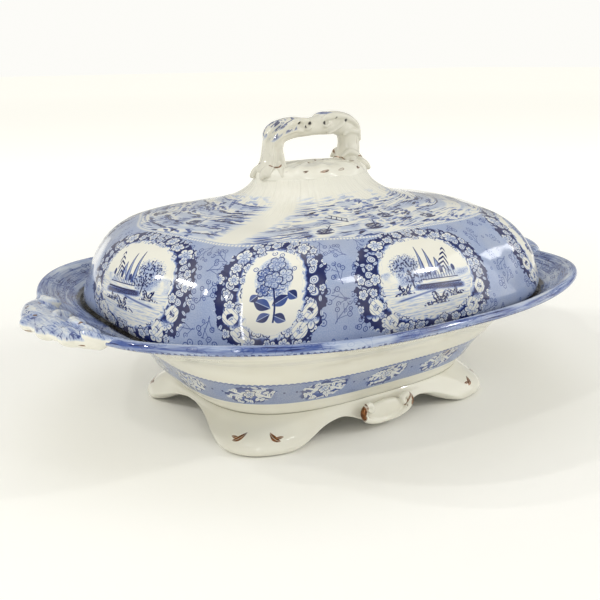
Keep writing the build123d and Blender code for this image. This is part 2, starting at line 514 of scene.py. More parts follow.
BOWL_ANGLES, BOWL_ALONG = even_angles((100.0, 80.0, 3.0, 0.0, 0.0, 0.0), BOWL_COLS)
BOWL_POINTS = np.array([plan(row, BOWL_ANGLES) for row in BOWL_ROWS])
BOWL_RUN = profile_run(BOWL_POINTS)


def belly_run(height):
    """Length up the outside of the bowl at a height."""
    heights = [row[3] for row in BOWL_BELLY]
    return float(np.interp(height, heights, BOWL_RUN[:len(heights)]))


BOWL_BAND_V = belly_run(32.6)          # middle of the printed band
BOWL_MOULD_V = belly_run(54.5)         # faint moulded line
BOWL_RIM_V = belly_run(67.2)           # lower edge of the lip
BOWL_CREST_V = float(BOWL_RUN[int(np.argmax(BOWL_POINTS[:, 0, 2]))])
BOWL_LEDGE_V = float(BOWL_RUN[len(BOWL_ROWS) - len(BOWL_CAVITY) + 1])


def build_bowl(material):
    """Belly, lip, ledge and cavity as one folded skin."""
    return skin("bowl_skin", BOWL_POINTS, BOWL_ALONG, BOWL_RUN, material)


# =============================================================================
# Foot
# =============================================================================
FOOT_OUT = [
    (FOOT_A - 2.5, FOOT_B - 2.5, 5.6, 0.0),
    (FOOT_A - 0.6, FOOT_B - 0.6, 5.6, 1.3),
    (FOOT_A, FOOT_B, 5.6, 3.2),
    (FOOT_A - 0.8, FOOT_B - 0.9, 5.4, 6.5),
    (FOOT_A - 3.6, FOOT_B - 3.2, 4.8, 10.5),
    (FOOT_A - 6.3, FOOT_B - 4.6, 4.0, 14.0),
    (81.0, 62.8, 3.4, 16.2),
    (80.4, 62.3, 3.3, BASE_Z),
]
FOOT_IN = [
    (FOOT_A - 9.2, FOOT_B - 9.2, 5.2, 0.0),
    (FOOT_A - 9.7, FOOT_B - 9.7, 5.0, 4.0),
    (FOOT_A - 12.2, FOOT_B - 10.9, 4.3, 10.0),
    (FOOT_A - 15.0, FOOT_B - 12.6, 3.5, BASE_Z),
]
# Height of the arch's lower edge by distance from the middle of the side, and of the end.
SIDE_EDGE = [(0, 3.5), (9, 3.9), (20, 7.1), (28, 9.1), (36, 10.0), (44, 8.0), (50, 3.9), (56, 1.1),
             (64, 0.0)]
END_EDGE = [(0, 12.5), (14, 12.1), (26, 9.5), (34, 5.4), (40, 2.2), (48, 0.0)]
FOOT_COLS = 560
FOOT_ANGLES, FOOT_ALONG = even_angles((FOOT_A, FOOT_B, 5.4, 0.0, 0.0, 0.0), FOOT_COLS)
FOOT_GIRTH = float(FOOT_ALONG[-1])
FOOT_CORNER_U = float(np.interp(math.pi / 4, FOOT_ANGLES, FOOT_ALONG[:-1]))


def smooth_steps(pairs, x):
    """Smooth curve through (x, y) pairs, flat at both ends."""
    xs, ys = np.array(pairs, float).T
    slopes = np.gradient(ys, xs)
    slopes[0] = 0
    slopes[-1] = 0
    k = np.clip(np.searchsorted(xs, x, side="right") - 1, 0, len(xs) - 2)
    h = xs[k + 1] - xs[k]
    t = np.clip((x - xs[k]) / h, 0, 1)
    return blended(t, h, ys[k], slopes[k], ys[k + 1], slopes[k + 1])


def section_at(keys, z, angles):
    """Points of a skirt at a height that differs from column to column."""
    keys = filled(keys)
    zs = keys[:, 3]
    dense = np.array(eased(keys, 0.5))
    order = np.argsort(dense[:, 3], kind="stable")
    a, b, n = (np.interp(z, dense[order, 3], dense[order, i]) for i in (0, 1, 2))
    z = np.clip(z, zs.min(), zs.max())
    return np.stack([*oval(a, b, n, angles), z], -1)


def build_foot(material):
    """Skirt with rolled lower edge that follows the arches, and its hollow inside."""
    angles, along = FOOT_ANGLES, FOOT_ALONG
    low_z = 4.0
    plain = section_at(FOOT_OUT, np.full(FOOT_COLS, low_z), angles)
    x, y = np.abs(plain[:, 0]), np.abs(plain[:, 1])
    on_side = y / FOOT_B > x / FOOT_A
    edge = np.where(on_side, smooth_steps(SIDE_EDGE, x), smooth_steps(END_EDGE, y))
    edge = np.where(on_side & (x > SIDE_EDGE[-1][0]), 0.0, edge)
    edge = np.where(~on_side & (y > END_EDGE[-1][0]), 0.0, edge)
    roll = 1.5                         # radius of the lower edge
    outer_steps, roll_steps, inner_steps = 15, 9, 9
    rows = []
    for t in np.linspace(1, 0, outer_steps):
        z = (edge + roll) * (1 - t) + BASE_Z * t
        rows.append(section_at(FOOT_OUT, z, angles))
    outer = section_at(FOOT_OUT, edge + roll, angles)
    inner = section_at(FOOT_IN, edge + roll, angles)
    for turn in np.linspace(0, np.pi, roll_steps)[1:-1]:
        share = (1 - math.cos(turn)) / 2
        row = outer * (1 - share) + inner * share
        row[:, 2] = edge + roll * (1 - math.sin(turn))
        rows.append(row)
    for t in np.linspace(0, 1, inner_steps):
        z = (edge + roll) * (1 - t) + BASE_Z * t
        rows.append(section_at(FOOT_IN, z, angles))
    rows.append(rows[0])               # closes the top, against the bowl
    points = np.array(rows)[::-1]
    return skin("foot_skirt", points, along, profile_run(points), material, capped=False)


# =============================================================================
# Lid
# =============================================================================
LOBE = 0.018
LID_OUT = [
    (120.6, 99.2, 3.1, LID_Z),
    (122.6, 101.1, 3.1, LID_Z + 0.7),
    (123.8, 102.2, 3.1, LID_Z + 2.4),
    (124.4, 102.6, 3.1, LID_Z + 5.0, 0, LOBE * 0.15),
    (124.6, 101.6, 3.0, 76.0, 0, LOBE * 0.7),
    (121.0, 97.6, 2.9, 89.0, 0, LOBE),
    (115.0, 91.6, 2.8, 98.5, 0, LOBE),
    (106.5, 84.0, 2.75, 105.0, 0, LOBE),
    (93.0, 73.0, 2.7, 109.8, 0, LOBE),
    (73.0, 57.5, 2.6, 113.3, 0, LOBE * 0.8),
    (55.5, 42.0, 2.5, 116.6, 0, LOBE * 0.5),
    (44.5, 31.5, 2.4, 120.4, 0, LOBE * 0.3),
    (38.5, 25.0, 2.3, 125.0, 0, 0.008),
    (35.5, 21.0, 2.2, CROWN_Z, 0, 0.012),
]
LID_IN = [
    (30.0, 17.0, 2.3, 121.6),
    (40.0, 27.5, 2.4, 114.5, 0, LOBE * 0.3),
    (58.0, 44.0, 2.5, 110.0, 0, LOBE * 0.5),
    (82.0, 64.0, 2.65, 106.4, 0, LOBE * 0.8),
    (98.5, 76.5, 2.7, 102.0, 0, LOBE),
    (108.0, 85.0, 2.8, 96.5, 0, LOBE),
    (115.0, 91.6, 2.9, 88.0, 0, LOBE),
    (119.0, 95.8, 3.0, 77.0, 0, LOBE * 0.7),
    (118.4, 96.2, 3.0, 70.0, 0, LOBE * 0.2),
    (115.8, 94.2, 3.1, LID_Z + 0.7),
    (117.0, 95.6, 3.1, LID_Z),
]
LID_COLS = 480
LID_REF = (121.0, 98.0, 2.9, 89.0, 0.0, 0.0)
LID_ANGLES, LID_ALONG = even_angles(LID_REF, LID_COLS)
LID_GIRTH = float(LID_ALONG[-1])


def build_lid(material):
    """Cushion outside and hollow inside as one folded skin, from crown to crown."""
    inner = eased(LID_IN, 2.2)
    outer = eased(LID_OUT, 1.2)
    points = np.array([plan(row, LID_ANGLES) for row in inner + outer])
    run = profile_run(points)
    run -= run[len(inner)]
    return skin("lid_cushion", points, LID_ALONG, run, material)


# =============================================================================
# Printed decoration: every motif returns ink, 0 for bare glaze to 1 for full cobalt
# =============================================================================
@motif
def flower(x, y, radius, spin):
    """Five-petalled flower: where it is, and the ink inside it."""
    angle = turn_of(y, x) + spin
    reach = length(x, y)
    far = reach / radius
    lobe = abs(cos(angle * 2.5))
    edge = radius * (0.62 + 0.38 * lobe ** 0.55)
    shape = inside(reach - edge)
    outline = stroke(reach - edge + 0.24, 0.6) * 0.96
    cleft = inside(lobe - 0.17, 0.08) * span(far, 0.3, 0.72) * 0.85
    vein = inside(0.95 - lobe, 0.03) * span(far, 0.36, 0.62) * 0.55
    heart = stroke(reach - radius * 0.23, 0.3) * 0.8
    wash = 0.03 + inside(far - 0.42, 0.2) * 0.22
    return shape, either(outline, cleft, vein, heart, wash)


@motif
def leaf(x, y, long, wide):
    """Pointed leaf lying along +x from the origin; ink inside, bare midrib."""
    half = wide * sin(low(high(x / long, 0.0), 1.0) * math.pi)
    shape = both(inside(abs(y) - half), inside(-x), inside(x - long))
    side = inside(y, 0.2) * 0.22
    return shape * (0.92 - 0.6 * stroke(y, 0.26) - side)


@motif
def berry(x, y, radius):
    reach = length(x, y)
    return either(stroke(reach - radius, 0.34), inside(reach - radius * 0.26) * 0.75)


@motif
def branch(x, y):
    """Twig with forks and ring berries, growing along +y, about 12 high."""
    stem = both(stroke(x - sin(y * 0.35) * 0.6, 0.3), span(y, -6.0, 5.0))
    forks = either(both(stroke(x + y * 0.8 - 1.0, 0.28), span(y, 0.0, 3.8)),
                   both(stroke(x - y * 0.9 - 2.6, 0.28), span(y, -3.4, 0.4)),
                   both(stroke(x + y * 0.7 + 3.6, 0.28), span(y, -5.0, -1.4)))
    berries = either(berry(x - 0.6, y - 5.9, 1.2), berry(x + 2.6, y - 4.4, 1.1),
                     berry(x - 3.6, y - 1.2, 1.15), berry(x + 3.2, y + 0.2, 1.05),
                     berry(x - 2.6, y - 3.4, 0.9))
    return either(stem, forks, berries)


@motif
def sprigs(where):
    """Twigs, trefoils, stars and small rings scattered over the ground tone."""
    dx, dy, pick, turn = scatter(where, 1 / 12.5, 0.62)
    x, y = spun(dx, dy, turn * FULL_TURN)
    twig = branch(x, y)
    trefoil = either(berry(x, y - 1.7, 1.45), berry(x - 1.6, y + 1.0, 1.45),
                     berry(x + 1.6, y + 1.0, 1.45))
    reach = length(x, y)
    star = either(stroke(reach - 1.3 - abs(cos(turn_of(y, x) * 4.0)), 0.34), inside(reach - 0.5))
    many = below(pick, 0.62)
    few = beyond(pick, 0.84)
    ink = either(twig * many, trefoil * outside(either(many, few)), star * few)
    sx, sy, chance, _ = scatter(where, 1 / 5.6, 0.9)
    rings = berry(sx, sy, 0.75) * below(chance, 0.3)
    return either(ink, rings * 0.7)


@motif
def ground(where):
    """Slate ground: fine stipple and hatch with darker sprigs over it."""
    mottled = noise(where, 0.07, 3.0, 0.6)
    grain = noise(where, 1.7, 2.0, 0.65)
    tone = 0.35 + (mottled - 0.5) * 0.16 + (grain - 0.5) * 0.3
    return tone + sprigs(where) * 0.45


@motif
def foliage(where):
    """Engraved leaves: short strokes set at all angles."""
    dx, dy, pick, turn = scatter(where, 1 / 1.5, 1.0)
    x, y = spun(dx, dy, turn * FULL_TURN)
    stroke_of = inside(length(x / 0.98, y / 0.42) - 1.0, 0.2)
    return stroke_of * (0.55 + pick * 0.45)


@motif
def scenery(x, y, where):
    """Small invented landscape about 58 by 43: trees, two spires and a roof, a terrace, water."""
    fine = noise(where, 2.0, 2.0, 0.6)
    above = inside(-y - 1.0)
    # far side: hills, spires, trees
    misty = ramp(noise(where, 0.12, 2.0), 0.42, 0.62)
    hills = both(inside(y - 2.0 - sin(x * 0.19) * 2.2, 0.5), inside(-y - 3.5, 0.8))
    ink = hills * misty * (0.12 + 0.3 * ramp(fine, 0.4, 0.6))
    for at, top, lean in ((-2.0, 16.5, 0.1), (3.8, 14.5, 0.12), (8.4, 8.5, 0.34)):
        edge = abs(x - at) - low((top - y) * lean, 2.3)
        tower = either(inside(edge) * 0.3, both(inside(edge), inside(at + 0.2 - x)) * 0.5,
                       both(stroke(edge, 0.4), inside(y - top)) * 0.85)
        ink = either(ink, tower * above)
    leaves = foliage(where)
    crown = low(length((x + 13.0) / 9.0, (y - 6.5) / 5.6), length((x + 8.5) / 7.0, (y - 0.5) / 4.0))
    leafy = noise(where, 0.95, 4.0, 0.75)
    tree = both(ramp(leafy - crown * 0.3, 0.18, 0.26), inside(crown - 1.25, 0.1)) * either(leaves, 0.24)
    ink = either(ink, tree, both(stroke(x + 10.5 + y * 0.2, 0.8), span(y, -5.5, 4.0)) * 0.85)
    px, py = turned(x - 10.5, y - 0.5, 58)
    plume = both(stroke(wrap(px * 0.8 + abs(py) * 0.9, -1.15, 1.15), 1.0), span(px, 1.0, 16.0),
                 inside(abs(py) - 4.2 + px * 0.22)) * 0.85
    ink = either(ink, plume)
    bare = either(both(span(y + x * 0.06, -4.4, -2.6), span(x, -4.0, 19.0)),
                  both(inside(length(x - 9.0, y + 1.0) - 3.4, 0.4), above))
    ink = ink * outside(bare)
    # terrace: balusters, urns, coping and its shade on the water
    rails = both(stroke(wrap(x, -0.85, 0.85), 0.42), span(y, -2.7, 0.6), span(x, -3.0, 18.0)) * 0.75
    ink = either(ink, rails)
    urn = inside(length(wrap(x - 1.0, -4.2, 4.2) / 1.2, (y - 1.4) / 1.7) - 1.0)
    urns = both(urn, span(x, -3.0, 19.0)) * 0.7
    ink = either(ink, urns, both(stroke(y + 2.4 + x * 0.06, 0.45), span(x, -4.0, 19.0)) * 0.9)
    shade = both(span(y + x * 0.1, -7.6, -4.9, 0.6), span(x, -9.0, 21.0, 1.6))
    streak = noise(place(x * 0.14, y * 1.3, 3.0), 1.0, 2.0, 0.6)
    water = both(ramp(streak, 0.46, 0.66), ramp(-y, -1.0, 6.0)) * 0.22 * outside(shade)
    ink = either(ink, water, shade * (0.45 + 0.45 * ramp(fine, 0.35, 0.6)))
    ink = either(ink, both(stroke(y + 5.0 + x * 0.06, 0.8), span(x, -6.0, 20.0)) * 0.92)
    ink = either(ink, both(span(y - x * 0.12, -8.8, -7.9, 0.5), span(x, -20.0, 4.0, 2.0)) * 0.55)
    # reeds in front
    for at, foot, turns, reach in ((4.0, -15.0, 13.0, 7.0), (-15.5, -7.6, 11.0, 5.6),
                                   (14.0, -12.6, 14.0, 4.6)):
        bx, by = x - at, y - foot
        turn = turn_of(by, bx)
        tall = reach * (0.72 + 0.28 * sin(turn * 5.0 + at))
        blades = both(ramp(cos(turn * turns), -0.1, 0.4), inside(length(bx, by) - tall, 0.4)) * 0.85
        clump = both(either(blades, leaves), inside(length(bx / 1.5, by) - tall, 0.3), inside(-by - 0.4))
        ink = either(ink, clump)
    return low(ink * 1.3, 1.0)


@motif
def bouquet(x, y, where):
    """Upright flower stem about 26 by 40: heads, buds and dark leaves."""
    fine = noise(where, 1.25, 2.0, 0.6)
    ink = ramp(fine, 0.35, 0.6) * inside(length(x / 8.0, (y - 5.0) / 10.5) - 1.0, 0.14) * 0.62
    for ox, oy, radius, spin in ((0.5, 12.0, 4.6, 0.3), (-4.4, 6.4, 4.0, 1.1), (4.8, 5.0, 4.4, 0.5),
                                 (-0.4, 3.4, 4.6, 0.0), (-4.6, -1.2, 3.2, 0.8)):
        shape, lines = flower(x - ox, y - oy, radius, spin)
        ink = ink * outside(shape) + either(lines, ramp(fine, 0.34, 0.54) * (0.46 - ox * 0.045)) * shape
    buds = either(berry(x + 1.5, y - 18.6, 1.2), berry(x - 2.3, y - 17.2, 1.1),
                  berry(x - 9.2, y - 8.6, 1.0), berry(x + 9.0, y - 9.5, 1.0)) * 0.8
    stem = both(stroke(x + sin(y * 0.16) * 1.1, 0.8), span(y, -16.0, 0.0)) * 0.95
    ink = either(ink, buds, stem)
    for ox, oy, turn, long, wide in ((-0.6, -9.6, 152, 8.8, 2.7), (-0.2, -8.4, 28, 8.6, 2.6),
                                     (-0.8, -12.0, 205, 6.6, 2.2), (0.4, -12.6, -28, 6.8, 2.3),
                                     (6.6, -2.4, -38, 6.0, 2.4), (-6.4, -3.0, 218, 4.6, 1.9)):
        lx, ly = turned(x - ox, y - oy, turn)
        ink = either(ink, leaf(lx, ly, long, wide))
    return ink


@motif
def wreath(x, y, where, inner_a, inner_b, outer_a, outer_b):
    """Ring of flowers, beads and curls on dark ink: the ink, the ring's mask, the middle's mask."""
    power = 2.5
    ax, ay = abs(x), abs(y)
    rho_in = ((ax / inner_a) ** power + (ay / inner_b) ** power) ** (1 / power)
    rho_out = ((ax / outer_a) ** power + (ay / outer_b) ** power) ** (1 / power)
    reach = length(x, y)
    from_in = reach * (1.0 - 1.0 / rho_in)
    from_out = reach * (1.0 / rho_out - 1.0)
    wide = from_in + from_out
    ragged = noise(where, 0.3, 2.0)
    angle = turn_of(y / (inner_b + outer_b), x / (inner_a + outer_a)) / (2 * math.pi)
    girth = (inner_a + outer_a + inner_b + outer_b) * (math.pi / 2 * 1.04)
    # dark ink that fades towards the middle
    ink = 0.96 * ramp(from_in + (ragged - 0.5) * 5.0, 0.4, 2.2)
    # chips of small leaves all over the ring
    sx, sy, pick, turn = scatter(where, 1 / 3.3, 0.85)
    px, py = spun(sx, sy, turn * FULL_TURN)
    chip = inside(length(px / 1.5, py / 0.75) - 1.0, 0.14) * below(pick, 0.52)
    ink = ink * outside(chip) + chip * either(stroke(py, 0.22) * 0.8, 0.16)
    # chain of oval beads, strongest on the two sides
    count = maths("ROUND", girth / 5.2)
    at = (wrap(angle * count, 0.0, 1.0) - 0.5) * girth / count
    off = from_in - wide * 0.45 + (noise(where, 0.2, 1.0) - 0.5) * 3.0
    bead = length(at / 2.35, off / 2.9)
    sides = inside(ay / (inner_b + outer_b) * 2.0 - 0.62, 0.05)
    shape = inside(bead - 1.0, 0.06) * sides
    rings = either(span(bead, 0.8, 1.2, 0.08) * 0.9, stroke(bead - 0.48, 0.14, 0.06) * 0.7,
                   inside(bead - 0.2, 0.06) * 0.6)
    ink = ink * outside(shape) + shape * either(rings, 0.07)
    # scattered flowers of two sizes, some over the inner edge
    fx, fy, pick, turn = scatter(where, 1 / 6.4, 0.5)
    shape, lines = flower(fx, fy, 2.3 + pick * 1.2, turn * FULL_TURN)
    shape = shape * below(turn, outside(sides) * 0.4 + 0.42)
    ink = laid(ink, lines, shape)
    # chain of large flowers above and below
    count = maths("ROUND", girth / 8.9)
    step = angle * count
    cell = maths("FLOOR", step)
    odd = beyond(maths("PINGPONG", cell, 1.0), 0.5)
    at = (step - cell - 0.5) * girth / count
    big = low(wide * 0.42, 5.0) - odd * 0.9
    shape, lines = flower(at, from_in - wide * 0.5 + (odd - 0.5) * 1.6, big, cell * 1.3)
    shape = shape * outside(sides)
    ink = laid(ink, lines, shape)
    # white curls between chain and flowers
    curls = [span(length(ax - (inner_a + outer_a) / 2 * cx, ay - (inner_b + outer_b) / 2 * cy), 1.7, 3.7)
             for cx, cy in ((0.9, 0.46), (0.66, 0.78))]
    curl = either(*curls) * inside(y)
    ink = ink * outside(curl) + curl * stroke(wrap(ay + ax, -1.4, 1.4), 0.3) * 0.5
    edge = from_out + (ramp(noise(where, 0.3, 2.0), 0.35, 0.65) - 0.55) * 2.6
    hem = from_in + (ragged - 0.5) * 3.4 + 0.6
    return ink, both(inside(-hem), inside(-edge)), inside(hem)


@motif
def boat(x, y, leafy):
    """Rowing boat two units long with a crew, a mast and a sail."""
    ink = both(inside(length(x, (y - 0.24) * 2.4) - 1.0, 0.05), inside(y - 0.08, 0.03)) * 0.98
    crew = both(ramp(leafy, 0.42, 0.48), inside(length(x / 0.75, (y - 0.42) / 0.42) - 1.0, 0.1))
    ink = either(ink, crew * 0.9)
    mast = both(stroke(x - 0.15 - (y - 0.3) * 0.35, 0.11, 0.03), span(y, 0.1, 1.5, 0.05))
    ink = either(ink, mast * 0.9)
    sail = both(stroke(x - 0.15 + (y - 1.4) * 0.7, 0.08, 0.03), span(y, 0.3, 1.4, 0.05))
    return either(ink, sail * 0.8)


@motif
def strokes(x, y, share):
    """Tapered brush strokes along x, one to a unit cell, some of them left out."""
    dx, dy, pick, turn = scatter(place(x, y), 1.0, 0.95)
    line = abs(dy + (turn - 0.5) * dx * (0.9 + dx * 1.3))
    return inside(line - 0.3 + abs(dx) * 0.4, 0.06) * below(pick, share) * (0.45 + turn * 0.55)


# Shores: distance up the lid, height, seed and depth of the wash.
SHORES = (
    (67.0, 7.0, 1.3, 4.0),
    (75.0, 12.0, 4.1, 6.0),
    (85.0, 14.0, 8.7, 7.0),
    (96.0, 14.0, 12.9, 7.0),
    (108.0, 12.0, 17.3, 5.0),
)
# Boats: distances round and up the lid, and half length.
BOATS = (
    (128.0, 68.0, 7.0),
    (168.0, 69.0, 8.5),
    (196.0, 82.0, 7.5),
    (231.0, 71.0, 7.0),
    (318.0, 70.0, 7.5),
    (18.0, 76.0, 7.0),
)


@motif
def landscape(u, v, uh):
    """Loose scenes over the shoulder of the lid: shores, hills, boats, trees, a bridge."""
    shrink = 1.0 - ramp(v, 60.0, 122.0) * 0.6
    su = (u - 184.0) * shrink
    sway = v + sin(su * 0.06) * 3.6
    leafy = noise(place(su * 0.34, v * 0.42, 9.0), 1.0, 4.0, 0.75)
    patch = noise(place(u * 0.035, v * 0.045, 2.0), 1.0, 1.0)
    ink = strokes(su / 9.0, sway / 2.3, 0.7) * ramp(patch, 0.34, 0.42) * 0.62
    dabs = strokes(su / 7.5 + sway * 0.04, sway / 4.0 + 7.0, 0.42)
    ink = either(ink, dabs * ramp(patch, 0.42, 0.48) * 0.95)
    for level, tall, seed, deep in SHORES:
        crest = noise(place(su * 0.04, seed, 0.0), 1.0, 3.0, 0.6) * tall + (level - tall / 2)
        under = crest - v
        line = both(stroke(under, 1.4, 0.2), ramp(leafy, 0.4, 0.46)) * 0.95
        wash = both(inside(-under), inside(under - deep, 2.0)) * 0.2
        shore = either(line, wash)
        ink = either(ink, shore * ramp(noise(place(su * 0.022, seed, 3.0), 1.0, 1.0), 0.44, 0.48))
    grove = both(ramp(patch, 0.52, 0.55), span(v, 65.0, 100.0, 3.0), ramp(leafy, 0.49, 0.54))
    ink = either(ink, grove * either(foliage(place(su * 0.6, v * 0.6)), 0.3))
    low_end = ramp(v, 62.0, 105.0)
    ink = ink * ramp(abs(uh - 68.0 - low_end * 18.0) / (0.7 + low_end * 0.5), 10.0, 26.0)
    for at, up, size in BOATS:
        bx, by = (uh - at) / size * shrink, (v - up) / size
        halo = inside(length(bx / 1.4, (by - 0.5) / 1.1) - 1.0, 0.2)
        ink = either(ink * (1.0 - halo * 0.8), boat(bx, by, leafy))
    bx, by = turned(uh - 140.0, v - 86.0, -24)
    ink = ink * (1.0 - inside(length(bx / 15.0, (by - 2.0) / 8.0) - 1.0, 0.2) * 0.8)
    deck = both(stroke(by, 1.3), span(bx, -11.0, 11.0))
    rail = both(stroke(by - 4.4, 0.9), span(bx, -8.0, 10.0))
    posts = both(stroke(wrap(bx, -2.4, 2.4), 1.0), span(by, 0.0, 4.4), span(bx, -9.0, 10.0))
    bridge = either(deck, rail, posts) * 0.95
    return low(either(ink * 1.25, bridge), 1.0) * outside(ramp(v, 104.0, 118.0))


# Round half the lid: where each panel ends, and how far on the next one's middle lies.
FIRST_PANEL = 19.0
PANEL_ENDS = ((68.0, 82.0), (133.0, 84.0), (244.0, 101.0), (328.0, 101.0))


def lid_ink():
    """The lid's whole print, by millimetres round it and up it; it repeats after half a turn."""
    u, v, where = glaze_coordinates()
    uh = wrap(u, 0.0, LID_GIRTH / 2)
    past = [beyond(uh, end) for end, _ in PANEL_ENDS]
    centre = FIRST_PANEL
    for mask, (_, step) in zip(past, PANEL_ENDS):
        centre = centre + mask * step
    corner = past[0] - past[1] + past[2] - past[3]
    side = past[1] - past[2]
    x = uh - centre
    y = v - (31.5 + corner * 2.0)
    ring, in_ring, in_middle = wreath(x, y, where, 28.5 - corner * 14.5, 21.5 - corner * 0.5,
                                      43.0 - corner * 17.0, 30.0 - corner * 1.0)
    view = scenery(x * (side * 2.0 - 1.0), y + 0.5, where) * outside(corner)
    middle = view + bouquet(x, y - 1.0, where) * corner
    shoulder = 60.8 + sin(u * (2 * math.pi / LID_GIRTH * LOBES)) * 1.2
    over = v - shoulder
    edge = stroke(over - 0.2, 2.6, 0.2)
    bead = inside(length(wrap(u, -1.1, 1.1), over - 0.2) - 0.74)
    lower = inside(over, 0.3)
    ink = ground(where) * lower + landscape(u, v, uh) * outside(lower)
    ink = laid(ink, 0.3, edge)
    ink = ink * outside(bead)
    ink = laid(ink, ring, in_ring)
    ink = laid(ink, middle, in_middle)
    return ink, u, v, where


@motif
def rim_streaks(u, v, where):
    """Wiped streaks that run round the lip, with bare patches."""
    long = noise(place(u * 0.045, v * 0.42, 1.0), 1.0, 4.0, 0.62, 0.35)
    fine = noise(place(u * 0.11, v * 1.3, 4.0), 1.0, 3.0, 0.65, 0.3)
    bare = ramp(noise(place(u * 0.03, v * 0.1, 7.0), 1.0, 2.0), 0.52, 0.64)
    lines = both(ramp(fine, 0.54, 0.64), ramp(long, 0.36, 0.5)) * 0.42
    gaps = ramp(fine, 0.4, 0.3) * 0.25
    tone = ramp(long, 0.3, 0.6) * 0.46 + 0.06
    return (tone + lines - gaps) * (0.92 - bare * 0.6) + sprigs(where) * 0.1


@motif
def leaf_band(u, v, where):
    """Printed band with leafy white reserves; v is 0 at its middle."""
    x = wrap(u, -20.5, 20.5)
    scallop = abs(sin(u * (math.pi / 3.0))) * 0.7
    edge = abs(v) - 8.9 - scallop * inside(-v)
    band = inside(edge, 0.15)
    rope = stroke(edge + 0.8, 0.9) * inside(-v) * 0.66
    grain = noise(where, 1.2, 3.0, 0.65)
    tone = 0.45 + (grain - 0.5) * 0.4
    dots = both(inside(length(wrap(u, -3.4, 3.4), v - 0.5) - 0.75), span(abs(x), 13.0, 24.0)) * 0.85
    # reserve: white leaves and a small flower on dark ink
    lean = x - v * 0.5
    wild = noise(where, 0.3, 2.0)
    body = length(lean / 14.0, v / 8.0) + (wild - 0.5) * 0.6
    reserve = inside(body - 0.95, 0.05)
    dx, dy, pick, turn = scatter(where, 1 / 2.9, 0.9)
    lx, ly = spun(dx, dy, turn * 3.0 - 0.9)
    frond = length(lx / 2.1, ly / 0.95)
    fronds = inside(frond - 1.0, 0.1) * below(pick, 0.86)
    inner = (0.82 - ramp(body, 0.9, 0.3) * 0.3) * outside(fronds)
    inner = inner + fronds * either(stroke(ly, 0.24) * 0.5, 0.04)
    stem = stroke(v + lean * 0.14 - sin(lean * 0.4) * 0.8, 1.3)
    inner = laid(inner, 0.06, stem)
    shape, lines = flower(lean, v, 3.6, 0.4)
    inner = laid(inner, lines, shape)
    ink = either(tone, rope, dots)
    ink = laid(ink, inner, reserve)
    return ink * band


def cobalt(ink):
    """Colour of the printed glaze for an amount of ink."""
    made = node("ShaderNodeValToRGB")
    feed(made.inputs[0], ink)
    stops = ((0.0, WHITE), (0.14, srgb(200, 208, 219)), (0.36, srgb(154, 168, 198)),
             (0.64, srgb(66, 88, 150)), (1.0, srgb(4, 14, 74)))
    scale = made.color_ramp.elements
    scale[0].color = (*stops[0][1], 1)
    scale[1].color = (*stops[-1][1], 1)
    for at, colour in stops[1:-1]:
        scale.new(at).color = (*colour, 1)
    return Tint(made.outputs[0])


# =============================================================================
# Glazed materials
# =============================================================================
WHITE = srgb(233, 231, 218)
GILT = srgb(146, 92, 48)
GILT_WORN = srgb(92, 60, 38)
# Near-black brown for painted shade: the gap round the lid's edge, the ledge below it, the dimples on the
# loop.
PAINTED_SHADE_COLOUR = srgb(30, 25, 25)


def start_material(name):
    material = bpy.data.materials.new(name)
    material.use_nodes = True
    Sheet.tree = material.node_tree
    return material, material.node_tree.nodes["Principled BSDF"]


def object_mm():
    """Place on the object in millimetres, to sample patterns at."""
    return Spot(*body_coordinates())


def upward():
    """How far the surface faces up, -1 to 1."""
    return split(node("ShaderNodeTexCoord").outputs["Normal"])[2]


def set_glaze(shader, colour, where, gilt=None, painted_shade=None, relief=None):
    """Glossy glaze, slightly uneven, with worn gilding, and painted shade where the masks say."""
    crazing = noise(where, 0.9, 3.0, 0.7)
    cloud = noise(where, 0.05, 2.0, 0.5)
    colour = paint(colour, srgb(214, 205, 178), ramp(cloud, 0.45, 0.85) * 0.22)
    colour = paint(colour, srgb(190, 180, 150), ramp(crazing, 0.72, 0.8) * 0.35)
    if gilt is not None:
        worn = ramp(noise(where, 0.8, 3.0, 0.7), 0.38, 0.6)
        gold = paint(GILT_WORN, GILT, worn)
        colour = paint(colour, gold, gilt)
        feed(shader.inputs["Metallic"], gilt * 0.7)
        feed(shader.inputs["Roughness"], gilt * 0.2 + 0.07)
    else:
        feed(shader.inputs["Roughness"], crazing * 0.05 + 0.05)
    # Painted shade: darken the colour where the mask says.
    if painted_shade is not None:
        colour = paint(colour, PAINTED_SHADE_COLOUR, painted_shade)
    for name, value in (("Base Color", colour), ("IOR", 1.5), ("Coat Weight", 0.15),
                        ("Specular IOR Level", 0.42), ("Coat Roughness", 0.04)):
        feed(shader.inputs[name], value)
    height = noise(where, 0.045, 2.0, 0.5) + noise(where, 0.5, 2.0, 0.5) * 0.04
    if relief is not None:
        height = height + relief
    bump = node("ShaderNodeBump")
    bump.inputs["Strength"].default_value = 0.3
    bump.inputs["Distance"].default_value = 0.0004
    feed(bump.inputs["Height"], height)
    link(bump.outputs[0], shader.inputs["Normal"])


def make_lid_material():
    """Lid: printed outside, gilt line and painted shade at the edge, folds in relief on the neck."""
    material, shader = start_material("printed_lid")
    ink, u, v, where = lid_ink()
    outer = beyond(v, 0.3)
    worn = noise(where, 0.3, 3.0, 0.7)
    gilt = both(span(v, -0.4, 2.2, 0.3), ramp(worn, 0.4, 0.5))
    # Painted shade: the lid's lower edge and the inside of its rim darkened, patchily, for the shadowed gap
    # where it sits on the ledge.
    painted_shade = both(span(v, -9.0, 0.9 + worn, 0.5), ramp(noise(where, 0.12, 2.0), 0.3, 0.5)) * 0.85
    folds = (noise(place(u * 0.2, v * 0.02, 3.0), 1.0, 2.0, 0.6) - 0.5) * 9.0 * ramp(v, 92.0, 106.0)
    set_glaze(shader, cobalt(ink * outer), object_mm(), gilt, painted_shade, folds)
    return material


